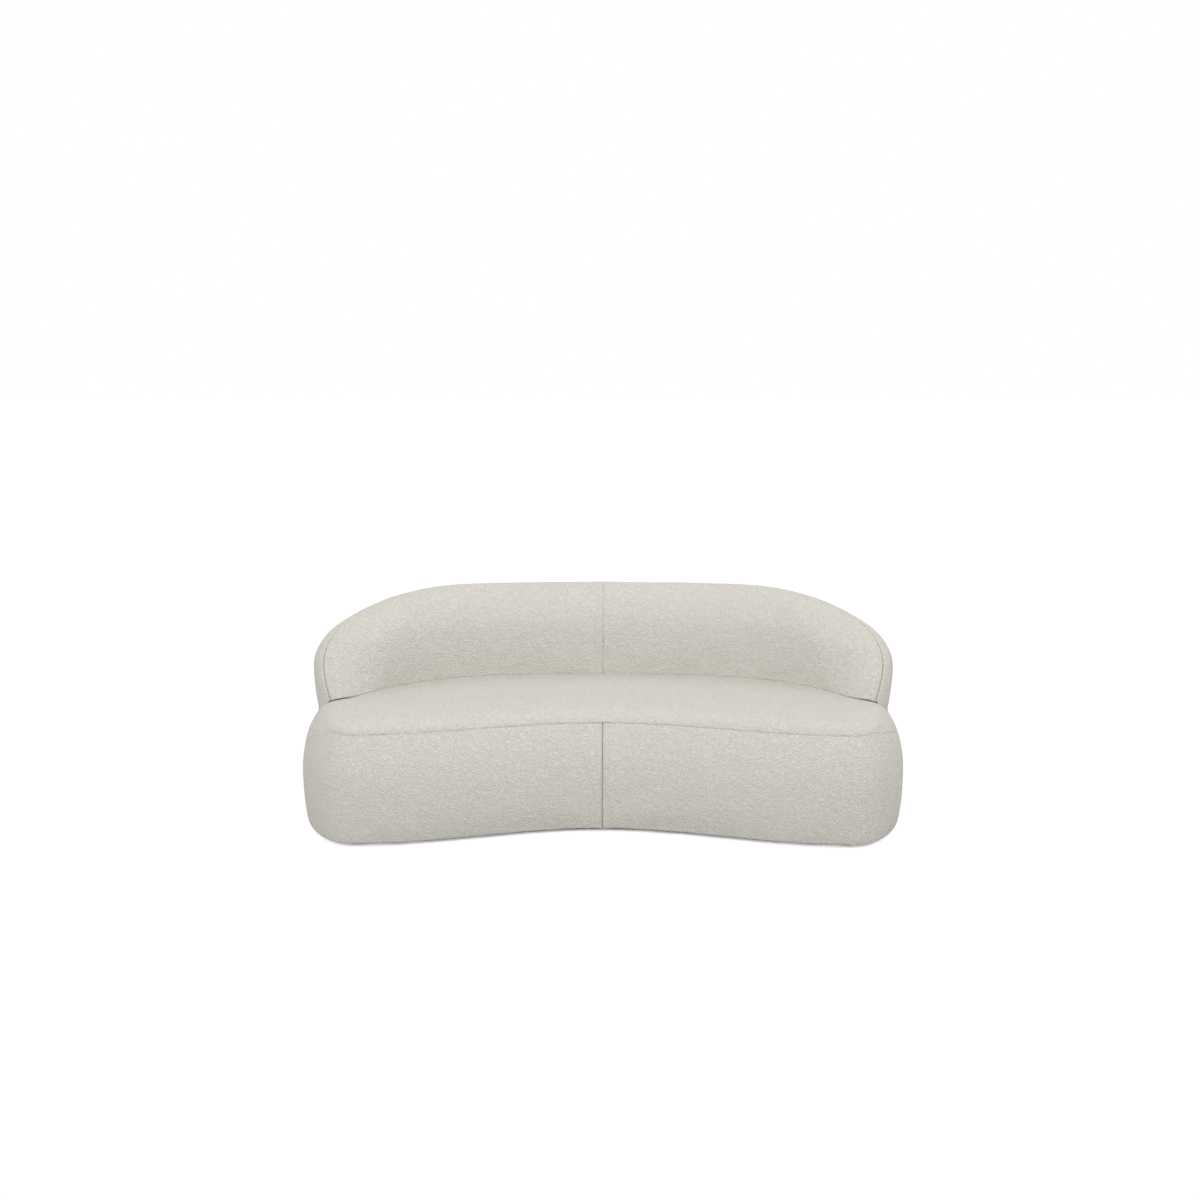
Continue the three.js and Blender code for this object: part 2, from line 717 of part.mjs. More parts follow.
const strap_inset = board_inner - webbing_landing;
const straps = [];
const strap_z = [webbing_bottom, webbing_bottom + webbing_thickness];
const crosswise = Math.floor((half_width - board_inner - webbing_width) / webbing_pitch);
for (let i = -crosswise; i <= crosswise; i++) {
  const x = i * webbing_pitch;
  const [front, rear] = crossings(strap_inset, "x", x);
  straps.push(between(x - webbing_width / 2, x + webbing_width / 2, front, rear, ...strap_z));
}
for (const i of webbing_rows) {
  const y = spine_middle + i * webbing_pitch;
  const [left, right] = crossings(strap_inset, "y", y);
  straps.push(between(left, right, y - webbing_width / 2, y + webbing_width / 2, ...strap_z));
}

const skin_outer = frame_inset - fit_gap - side_board;
const skin_section = bar(skin_outer, skin_outer + side_board, base_bottom, seat_board_top);
add("side_skin_right", carried(skin_section, 0, half_steps), plywood_finish);
add("side_skin_left", carried(skin_section, half_steps, columns.length), plywood_finish);

// Posts in the seat foam. Bolts come up through them from under the seat board.
function postAt(reach, size, bottom, top) {
  const at = beside(reach, postOut(reach), 0);
  const box = new THREE.BoxGeometry(size, size, top - bottom).rotateZ(stationAngle(reach));
  return box.translate(at.x, at.y, (bottom + top) / 2);
}
const coverUnder = (reach) => {
  const half = post_size / 2;
  const corners = [-half, half].map((a) => beside(Math.abs(reach) + a, postOut(reach) + half, 0));
  return Math.min(...corners.map((p) => crownZ(insetAt(p.x, p.y)))) - 2 * back_seat_gap - cover_thickness;
};
const boltAt = (reach, radius, bottom, top) => {
  const at = beside(reach, postOut(reach), 0);
  const rod = new THREE.CylinderGeometry(radius, radius, top - bottom, round_steps);
  return rod.rotateX(Math.PI / 2).translate(at.x, at.y, (bottom + top) / 2);
};
const bolt_hole = bolt_diameter / 2 + bolt_clearance;
const holeThrough = (reach) => boltAt(reach, bolt_hole, 0, back_top);
const pockets = posts.map((reach) => postAt(reach, post_size + 2 * fit_gap, seat_board_top, back_top));
add("seat_webbing", cut(joined(straps), ...pockets), webbing_fabric);
posts.forEach((reach, i) => {
  const post = postAt(reach, post_size, webbing_bottom, coverUnder(reach));
  add("back_post_" + (i + 1), cut(post, holeThrough(reach)), pine);
});
add(
  "seat_board",
  cut(ring(bar(frame_inset, board_inner, seat_board_bottom, seat_board_top)), ...posts.map(holeThrough)),
  plywood_finish,
);

// Foam round the sides in four lengths, the seat's core, and the soft layer that shapes its crown
const under_cover = cover_thickness + fit_gap;
const foam_line = drawnIn(block_profile, under_cover);
function foamInset(z) {
  const i = Math.max(foam_line.findIndex((point) => point.z >= z), 2);
  const [a, b] = [foam_line[i - 1], foam_line[i]];
  return a.inset + ((b.inset - a.inset) * (z - a.z)) / (b.z - a.z);
}
const side_foam_top = seat_foam_bottom - fit_gap;
const side_foam_section = [
  { inset: skin_outer - fit_gap, z: base_bottom },
  ...[base_bottom, ...foam_line.slice(2, seam_row).map(({ z }) => z), side_foam_top]
    .filter((z) => z >= base_bottom && z <= side_foam_top)
    .map((z) => ({ inset: foamInset(z), z })),
  { inset: skin_outer - fit_gap, z: side_foam_top },
];
const quarter = front_steps + 1;
const side_lengths = {
  front: [-quarter, quarter],
  right: [quarter, half_steps - quarter],
  rear: [half_steps - quarter, half_steps + quarter],
  left: [half_steps + quarter, columns.length - quarter],
};
for (const [side, [from, to]] of Object.entries(side_lengths))
  add("side_foam_" + side, carried(side_foam_section, from, to), foam);

const foam_split = seam_height - under_cover;
const core_levels = [seat_foam_bottom, (seat_foam_bottom + foam_split) / 2, foam_split];
add(
  "seat_foam",
  cut(loft(blockRows(core_levels.map((z) => ({ inset: foamInset(z), z })))), ...pockets),
  foam,
);
const topper_bottom = foam_split + fit_gap;
const topper_rows = [
  { inset: foamInset(topper_bottom), z: topper_bottom },
  ...foam_line.slice(seam_row + 1),
];
add("seat_topper", cut(loft(blockRows(topper_rows)), ...pockets), foam);

// Fitted covers: the crowned top inside the seam, and the band's two halves
const cover_outer = blockRows(block_profile).flat();
const cover_inner = blockRows(drawnIn(block_profile, cover_thickness)).flat();
const count = columns.length;
const top_row = (block_profile.length - 1) * count;
const top_cap = flatFaces(cover_outer, columns.map((_, c) => top_row + c));
const seat_cover = sheet(cover_outer, cover_inner, [
  ...rowFaces(count, seam_row, block_profile.length - 1),
  ...top_cap,
]);
add("seat_cover", cut(seat_cover, ...posts.map(holeThrough)), boucle);
const band_sides = { right: (r, c) => c < half_steps, left: (r, c) => c >= half_steps };
for (const [side, keep] of Object.entries(band_sides)) {
  const faces = rowFaces(count, 0, seam_row, keep);
  add("band_cover_" + side, sheet(cover_outer, cover_inner, faces), boucle);
}

// Backrest

// Stations of the frame along the mid line. Its top comes down towards the ends with the filling.
const sole_bottom = seat_height + fit_gap + cover_thickness + fit_gap;
const rib_bottom = sole_bottom + plywood + fit_gap;
const lowest_share = (rib_bottom + least_rib + plywood - seat_height) / back_rise;
const core_reach = backSection(lowest_share).shoulder - end_filling;
function coreTop(reach) {
  let share = core_rise / back_rise;
  while (share > lowest_share && backSection(share).shoulder - end_filling < Math.abs(reach) - fit_gap)
    share -= core_share_step;
  return seat_height + back_rise * Math.max(share, lowest_share);
}
const stations = Array.from({ length: core_steps + 1 }, (_, i) => {
  const reach = core_reach * ((2 * i) / core_steps - 1);
  return { reach, top: coreTop(reach) };
});
function coreSides(z) {
  const { middle, half } = backSection((z - seat_height) / back_rise);
  return {
    outer: middle + half - under_cover - rear_filling,
    inner: middle - half + under_cover + front_filling,
  };
}
const foot_sides = coreSides(seat_height);
const head_sides = coreSides(seat_height + core_rise);
function coreAt(z, side, draw) {
  const out = THREE.MathUtils.mapLinear(
    z, seat_height, seat_height + core_rise, foot_sides[side], head_sides[side],
  );
  return side === "outer" ? out - draw : out + draw;
}
// Section of four corners at a station: under the skins' faces, between two heights
const corePanel = (draw, bottom, top) => ({ reach, top: head }) => {
  const [low, high] = [bottom(head), top(head)];
  return [
    beside(reach, coreAt(low, "outer", draw), low),
    beside(reach, coreAt(high, "outer", draw), high),
    beside(reach, coreAt(high, "inner", draw), high),
    beside(reach, coreAt(low, "inner", draw), low),
  ];
};
// Body through a section at every station, its ends moved out by a distance
function along(section, grow = 0) {
  const rings = stations.map(section);
  for (const [end, inner] of [[0, 1], [rings.length - 1, rings.length - 2]])
    rings[end] = rings[end].map((p, i) => {
      const out = p.clone().sub(rings[inner][i]).setZ(0).normalize();
      return p.clone().addScaledVector(out, grow);
    });
  return loft(rings);
}
const behind_skin = side_board + fit_gap;
const sole = along(corePanel(behind_skin, () => sole_bottom, () => sole_bottom + plywood));
add("back_sole", cut(sole, ...posts.map(holeThrough)), plywood_finish);
add("back_top_rail", along(corePanel(behind_skin, (head) => head - plywood, (head) => head)), plywood_finish);

// Ribs with a lightening hole stand between the sole and the top rail, each in the middle of a length
const rib_section = corePanel(behind_skin, () => rib_bottom, (head) => head - plywood - rib_clearance);
for (let i = 0; i < rib_count; i++) {
  const k = Math.round(((i + 0.5) / rib_count) * core_steps - 0.5);
  const [a, b] = [rib_section(stations[k]), rib_section(stations[k + 1])];
  const middleOf = (section) => section[0].clone().lerp(section[3], 0.5);
  const half_share = plywood / 2 / middleOf(a).distanceTo(middleOf(b));
  const faces = [0.5 - half_share, 0.5 + half_share].map((share) =>
    a.map((p, c) => p.clone().lerp(b[c], share)),
  );
  const corners = faces.flat();
  const centre = corners.reduce((sum, p) => sum.add(p), new THREE.Vector3()).divideScalar(corners.length);
  const across = faces[0][0].clone().sub(faces[0][3]);
  const through = new THREE.Vector3(-across.y, across.x, 0).normalize();
  const hole = new THREE.CylinderGeometry(0.5, 0.5, 1, 2 * round_steps);
  hole.scale(
    rib_hole_width_share * across.length(),
    plywood + 2 * cut_overrun,
    rib_hole_height_share * (faces[0][1].z - rib_bottom),
  );
  const sideways = across.clone().setZ(0).normalize();
  const turn = new THREE.Matrix4().makeBasis(sideways, through, new THREE.Vector3(0, 0, 1));
  hole.applyMatrix4(turn.setPosition(centre));
  add("back_rib_" + (i + 1), cut(loft(faces), hole), plywood_finish);
}

const skin = (side) => ({ reach, top }) => {
  const at = (z, draw) => beside(reach, coreAt(z, side, draw), z);
  return [at(sole_bottom, 0), at(top, 0), at(top, side_board), at(sole_bottom, side_board)];
};
for (const side of ["outer", "inner"])
  add("back_" + side + "_skin", along(skin(side)), plywood_finish);

posts.forEach((reach, i) => {
  const head_top = seat_board_bottom - fit_gap;
  const head = boltAt(reach, bolt_head_width / 2, head_top - bolt_head_height, head_top);
  const shank = boltAt(reach, bolt_diameter / 2, head_top - bolt_head_height / 2, sole_bottom + plywood);
  add("back_bolt_" + (i + 1), joined([head, shank]), zinc);
});

// Filling: one body under the cover, hollowed for the frame, with the rear sheet cut free
const count_back = back_round.length;
const foam_rows = backRows(cover_thickness + seam_allowance, 0);
const last_foam_row = foam_rows.length - 1;
const filling = body(
  foam_rows.flat(),
  [
    ...rowFaces(count_back, 0, last_foam_row),
    ...stripFaces(last_foam_row, 1), ...stripFaces(last_foam_row, -1),
    ...[...stripFaces(0, 1), ...stripFaces(0, -1)].map((face) => [...face].reverse()),
  ].flatMap((face) => face.slice(2).map((v, i) => [face[0], face[i + 1], v])),
);
const frame_room = along(
  corePanel(-fit_gap, () => sole_bottom - fit_gap, (head) => head + rib_clearance), fit_gap,
);
const rear_far = back_half_base + back_flare + cut_overrun;
const rearRoom = (grow, draw) =>
  along(({ reach, top }) => [
    beside(reach, coreAt(base_top, "outer", draw), base_top),
    beside(reach, coreAt(top + grow, "outer", draw), top + grow),
    beside(reach, rear_far, top + grow),
    beside(reach, rear_far, base_top),
  ], grow);
add("back_foam", cut(filling, frame_room, rearRoom(fit_gap, side_board), ...posts.map(holeThrough)), foam);
const rear_sheet = solid(filling).intersect(solid(rearRoom(0, -fit_gap)));
add("back_rear_foam", geometryOf(rear_sheet), foam);

// Cover in four panels. The seam follows the rear top edge and comes down on the outside of each nose.
const back_outer = backRows(0, foam_folds.length).flat();
const back_inner = backRows(cover_thickness, foam_folds.length).flat();
const last_row = back_levels.length;
const edge_row = last_row - edge_seam_steps;
const nose_seam = back_steps + nose_seam_steps;
const right_side = (c) => c < back_half_columns - 1;
const fromMiddle = (c) => (right_side(c) ? c : count_back - 1 - c);
const isOuter = (r, c) => fromMiddle(c) < nose_seam && r < edge_row;
for (const [side, sign] of [["right", 1], ["left", -1]]) {
  const here = (c) => right_side(c) === sign > 0;
  const inner_faces = [
    ...rowFaces(count_back, 0, last_row, (r, c) => here(c) && !isOuter(r, c)),
    ...stripFaces(last_row, sign),
  ];
  const outer_faces = rowFaces(count_back, 0, last_row, (r, c) => here(c) && isOuter(r, c));
  add("back_cover_inner_" + side, sheet(back_outer, back_inner, inner_faces), boucle);
  add("back_cover_outer_" + side, sheet(back_outer, back_inner, outer_faces), boucle);
}

export default sofa;
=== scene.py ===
import math

import bpy
import numpy as np
from bpy.props import FloatProperty, FloatVectorProperty, IntProperty, PointerProperty
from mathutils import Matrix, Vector, kdtree, noise


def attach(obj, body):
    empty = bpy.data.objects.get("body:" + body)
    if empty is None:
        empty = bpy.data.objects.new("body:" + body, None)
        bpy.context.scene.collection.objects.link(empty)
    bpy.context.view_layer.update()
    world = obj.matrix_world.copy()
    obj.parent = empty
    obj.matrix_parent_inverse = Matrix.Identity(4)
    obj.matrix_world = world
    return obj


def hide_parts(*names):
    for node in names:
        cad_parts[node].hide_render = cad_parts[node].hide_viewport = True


bl_info = {
    "name": "Curved sofa",
    "version": (1, 0, 0),
    "blender": (4, 5, 0),
    "location": "3D View > Sidebar > Sofa",
    "description": "Upholsters the packed frame of a curved sofa and sets up its studio",
    "category": "Object",
}

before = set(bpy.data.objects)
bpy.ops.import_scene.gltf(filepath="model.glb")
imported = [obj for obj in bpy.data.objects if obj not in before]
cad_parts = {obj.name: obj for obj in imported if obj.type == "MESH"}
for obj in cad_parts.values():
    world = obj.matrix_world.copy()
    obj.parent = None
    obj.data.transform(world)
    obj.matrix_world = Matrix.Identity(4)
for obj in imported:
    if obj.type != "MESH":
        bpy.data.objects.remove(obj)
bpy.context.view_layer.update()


# Settings


def length(name, default, description):
    return FloatProperty(name=name, description=description, default=default, unit="LENGTH", precision=4)


def share(name, default, description):
    return FloatProperty(name=name, description=description, default=default, precision=4)


def colour(name, default, description):
    return FloatVectorProperty(
        name=name, description=description, default=default, subtype="COLOR", size=3, min=0, max=1
    )


class SofaBlockSizes(bpy.types.PropertyGroup):
    """Seat block. Setbacks are counted from the front of the lobes."""

    width: length("Width", 2.21, "Over the widest points of the block")
    depth: length("Depth", 0.985, "From the lobes' front to the rear")
    front_recess: length("Front recess", 0.143, "Middle of the front behind the lobes")
    lobe_corner: length("Lobe corner", 0.242, "From a lobe's foremost point out to the side")
    widest_setback: length("Widest setback", 0.431, "From the lobes' front back to the widest points")
    front_ease: share("Front ease", 0.35, "How flat the front runs out of the middle and into a lobe")
    lobe_round: share("Lobe round", 0.54, "Pull of the lobe's curve towards the side")
    side_round: share("Side round", 0.535, "Pull of the side's curve towards the lobe")
    rear_side: share("Rear side", 0.58, "Pull of the rear curve where it leaves the side")
    rear_flat: share("Rear flat", 0.56, "Pull of the rear curve at its middle")
    spine_reach: share("Spine reach", 0.62, "Length of the seat's spine over the block's width")
    bottom: length("Bottom", 0.0123, "Underside of the cover over the floor")
    widest_height: length("Widest height", 0.1603, "Level of the widest outline")
    seam_height: length("Seam height", 0.3903, "Level of the seam round the seat")
    crown_height: length("Crown height", 0.042, "From that seam up to the seat")
    crown_rise: length("Crown rise", 0.008, "The middle of the seat over its flat rim")
    foot_inset: length("Foot inset", 0.011, "How far the side draws in at the floor")
    foot_power: share("Foot power", 2.8, "Shape of the side under its widest level")
    seam_inset: length("Seam inset", 0.063, "How far the side draws in at the seam")
    seam_power: share("Seam power", 2.55, "Shape of the side over its widest level")
    crown_reach: length("Crown reach", 0.096, "From the seam in to the flat of the seat")
    edge_round: length("Edge round", 0.009, "Radius of the turned-under lower edge")
    fold: length("Fold", 0.024, "Width of the cover stapled under the block")
    offset_reach: length("Offset reach", 0.061, "Inset over which a place heads for the spine")
    seam_dip: length("Seam dip", 0.068, "Drop of the seat's seam round the ends")
    dip_start: share("Dip start", 33.0, "Turn of the outline where it starts, in degrees")
    dip_full: share("Dip full", 95.0, "Turn of the outline where it is complete")
    dip_end: share("Dip end", 105.0, "Turn of the outline where it starts to end")
    dip_gone: share("Dip gone", 160.0, "Turn of the outline where it has ended")
    dip_power: share("Dip power", 1.5, "How late it starts down")
    dip_blend: length("Dip blend", 0.062, "Reach of the rounder edge over it")
    dip_join: length("Dip join", 0.03, "Dip at which that reach is complete")


class SofaBackSizes(bpy.types.PropertyGroup):
    """Backrest. Its mid line runs in plan from the middle to the tip of a nose."""

    mid_setback: length("Middle setback", 0.802, "Mid line at the middle of the sofa")
    flat_reach: length("Flat reach", 0.442, "Pull of the mid line at the middle")
    bend_x: length("Bend out", 0.731, "Turn of the mid line, from the middle")
    bend_setback: length("Bend setback", 0.677, "The same place, from the lobes' front")
    bend_angle: share("Bend angle", math.radians(31.5), "Direction of the mid line there, in radians")
    bend_lead: length("Bend lead", 0.16, "Pull of the curve before the bend")
    bend_follow: length("Bend follow", 0.243, "Pull of the curve after the bend")
    tip_x: length("Tip out", 0.976, "Tip of the nose, from the middle")
    tip_setback: length("Tip setback", 0.338, "Tip of the nose, from the lobes' front")
    tip_lead: length("Tip lead", 0.163, "Pull of the curve at the tip")
    tip_angle: share("Tip angle", math.radians(2), "Direction of the mid line at the tip, in radians")
    rise: length("Rise", 0.339, "Top of the back over the seat")
    half_base: length("Half base", 0.112, "Half the thickness of the back at its foot")
    flare: length("Flare", 0.064, "How far the outer face leans out")
    flare_part: share("Flare part", 0.4, "Part of the height that it takes")
    flare_power: share("Flare power", 1.3, "Shape of the flare")
    lean: length("Lean", 0.027, "How far the inner face leans back")
    top_round: length("Top round", 0.139, "Height over which front and rear round into the top")
    end_round: length("End round", 0.428, "Height over which the ends come down")
    end_lean: length("End lean", 0.029, "How far the noses draw back on the way up")
    nose: share("Nose", 1.685, "Length of a nose over its half width")
    round_power: share("Round power", 1.69, "Shape of the round into the top")
    round_blend: share("Round blend", 0.14, "Softness of the rounds' start")
    end_power: share("End power", 2.02, "Shape of the round at the ends")
    straight: share("Straight part", 0.236, "Part of the height straight over the foot")
    rest_gap: length("Rest gap", 0.0004, "Foot over the flat of the seat")
    sink: length("Sink", 0.007, "Foot's depth in the seat's sloping edge")
    sink_drop: length("Sink drop", 0.02, "Drop of the edge at which it sinks that deep")
    foot_round: length("Foot round", 0.005, "Radius of the turned-under foot")
    fold: length("Fold", 0.024, "Width of the cover turned under the back")
    seam_turn: share("Seam turn", -9.5, "End seam's place from the tip, in degrees")
    seam_level: share("Seam level", 52.0, "Rear seam's place round the top, in degrees")
    seam_corner: length("Seam corner", 0.23, "Radius where the two seams meet")
    seam_roundness: share("Seam roundness", 0.88, "1 is a full round, less leaves a slight corner")


class SofaUpholstery(bpy.types.PropertyGroup):
    """Cover and filling"""

    step: length("Step", 0.0135, "Size of a face before the last subdivision")
    seat_step: length("Seat step", 0.0175, "The same round the seat's top")
    thickness: length("Thickness", 0.003, "Boucle with its felt backing")
    seam_gap: length("Seam gap", 0.0002, "Half the gap between two panels at a seam")
    hold: length("Hold", 0.035, "Reach over which a seam holds the cover down")
    front_gap: length("Front gap", 0.0009, "Half the gap at the band's middle seam")
    end_gap: length("End gap", 0.0004, "The same at the back's end and rear seams")
    tuck: length("Tuck", 0.0022, "Depth of a seam")
    tuck_width: length("Tuck width", 0.004, "How far from a seam the cover starts to roll in")
    seat_seam: share("Seat seam", 0.22, "Depth round the seat over the tuck")
    front_seam: share("Front seam", 2.2, "Depth in the band over the tuck")
    back_seam: share("Back seam", 1.2, "Depth at the back's middle over the tuck")
    end_seam: share("End seam", 2.4, "Depth at the back's ends over the tuck")
    seat_lean: share("Seat lean", 0.31, "Half the turn between that seam's sides")
    crossing: length("Crossing", 0.03, "Reach of its deeper place at the front")
    pucker: length("Pucker", 0.0007, "Height of the puckers beside a seam")
    pucker_width: length("Pucker width", 0.02, "How far the puckers reach from a seam")
    pucker_step: length("Pucker step", 0.018, "Distance between puckers along a seam")
    unevenness: length("Unevenness", 0.0008, "Height of the cover's unevenness")
    unevenness_step: length("Unevenness step", 0.09, "Size of that unevenness")
    slack: length("Slack", 0.002, "How much smaller a panel starts")
    swell: length("Swell", 0.006, "How far a panel's fullest part is pressed out")
    pressure: share("Pressure", 4.0, "Pressure of the filling on the cover")
    frames: IntProperty(name="Frames", description="Length of the inflation", default=20, min=2)
    voxel: length("Voxel", 0.008, "Face size of the fillings")
    filling_slack: length("Filling slack", 0.006, "How far the fillings stay under their solids")


class SofaFinishes(bpy.types.PropertyGroup):
    """Colours"""

    boucle: colour("Boucle", (0.717, 0.691, 0.64), "Pale greige of the loops' tops")
    # Painted shade: the colour between the loops is darker than the loops' tops and stands in for the shade in
    # the pile's hollows
    boucle_shade: colour("Boucle shade", (0.642, 0.616, 0.561), "Between the loops")
    foam: colour("Foam", (0.82, 0.74, 0.5), "Polyurethane foam")
    plywood: colour("Plywood", (0.58, 0.38, 0.19), "Birch plywood")
    pine: colour("Pine", (0.7, 0.48, 0.25), "Planed pine")
    black_board: colour("Black board", (0.012, 0.012, 0.012), "Stained board of the plinth")
    black_fabric: colour("Black fabric", (0.015, 0.015, 0.016), "Non-woven dust cover")
    webbing: colour("Webbing", (0.025, 0.023, 0.023), "Elastic webbing")
    nylon: colour("Nylon", (0.025, 0.025, 0.025), "Moulded glides")
    zinc: colour("Zinc", (0.5, 0.52, 0.54), "Plated bolts")


class SofaStudio(bpy.types.PropertyGroup):
    """Camera, floor and light"""

    camera_place: FloatVectorProperty(
        name="Camera place", description="Where the photograph was taken from",
        default=(0.0204, -4.5092, 1.7421), subtype="TRANSLATION", unit="LENGTH",
    )
    camera_tilt: share("Camera tilt", math.radians(77.869), "Rotation about X, in radians")
    camera_turn: share("Camera turn", math.radians(0.397), "Rotation about Z, in radians")
    lens: share("Lens", 37.5, "Focal length in millimetres on a sensor 36 mm wide")
    ambient: share("Ambient", 0.97, "Strength of the white surroundings as light")
    key: share("Key light", 38.0, "Power of the softbox in watts")
    key_size: length("Key size", 4.0, "Side of the softbox")
    key_height: length("Key height", 3.4, "Height of the softbox")
    key_front: length("Key front", 1.9, "How far it stands in front of the sofa")
    floor_size: length("Floor size", 60.0, "Side of the floor")
    floor: colour("Floor", (0.6, 0.6, 0.6), "Floor as the light finds it")
    floor_glow: share("Floor glow", 0.93, "Part of the floor seen as plain white")
    floor_white: share("Floor white", 1.06, "Strength of that white")
    gap_reach: length("Gap reach", 0.024, "How far the floor looks for a cover")
    gap_dark: share("Gap dark", 0.12, "Open share of its view with no white")
    gap_light: share("Gap light", 0.28, "Open share of its view with full white")


# Plan and sections


def eased(x):
    x = np.clip(x, 0, 1)
    return x * x * (3 - 2 * x)


def run_of(*line):
    """Distances along a line from its first point."""
    return np.concatenate([[0], np.cumsum(np.hypot(*(np.diff(part) for part in line)))])


def bezier(corners, t):
    """Places and directions on a cubic curve in plan."""
    a, b, c, d = (np.array(corner, float) for corner in corners)
    t = np.asarray(t)[:, None]
    u = 1 - t
    place = u**3 * a + 3 * u * u * t * b + 3 * u * t * t * c + t**3 * d
    slope = 3 * u * u * (b - a) + 6 * u * t * (c - b) + 3 * t * t * (d - c)
    return place, slope / np.linalg.norm(slope, axis=1)[:, None]


# Points on the fine lines that rows and columns are read from
WALK_POINTS = 1500
EDGE_POINTS = 200
BLEND_POINTS = 60
SIDE_POINTS = 400
HEIGHT_POINTS = 100
FOLD_POINTS = 24
NOSE_POINTS = 400
OUTLINE_STEP = 6
# Parts of the spread over which a round is evened out
BLEND_STEPS = np.linspace(-1, 1, 9)
# Rows from the flat rim to the spine over those that the half depth would take
SPINE_ROWS = 0.62
# Where the crown starts to rise on the way to the spine, and over how much of the way
RISE_START, RISE_RUN = 0.56, 0.3
# A panel's faces are turned away from here: part of the way to the nose, and part of the height
CORE_REACH, CORE_LEVEL = 0.97, 0.5
# Part of the height at which the back's columns are spaced
COLUMN_LEVEL = 0.3


class Walk:
    """A line in plan through several curves, read by its length."""

    def __init__(self, curves):
        t = np.linspace(0, 1, WALK_POINTS)
        parts = [bezier(curve, t) for curve in curves]
        self.places = np.concatenate([p[0] for p in parts])
        self.slopes = np.concatenate([p[1] for p in parts])
        self.runs = run_of(*self.places.T)
        self.length = self.runs[-1]

    def at(self, run):
        place = [np.interp(run, self.runs, self.places[:, i]) for i in (0, 1)]
        slope = [np.interp(run, self.runs, self.slopes[:, i]) for i in (0, 1)]
        size = np.hypot(*slope)
        return np.stack(place, -1), np.stack([slope[0] / size, slope[1] / size], -1)


# Distances from a seam at which a panel has rows, before its even steps begin
SEAM_ROWS = (0, 0.0015, 0.0035, 0.007, 0.012)


def spaced(total, step, first, last):
    """Distances from 0 to a total, with close rows at the ends that have a seam."""
    start = list(SEAM_ROWS) if first else [0]
    end = [total - d for d in reversed(SEAM_ROWS)] if last else [total]
    count = max(1, round((end[0] - start[-1]) / step))
    return np.concatenate([start[:-1], np.linspace(start[-1], end[0], count + 1), end[1:]])


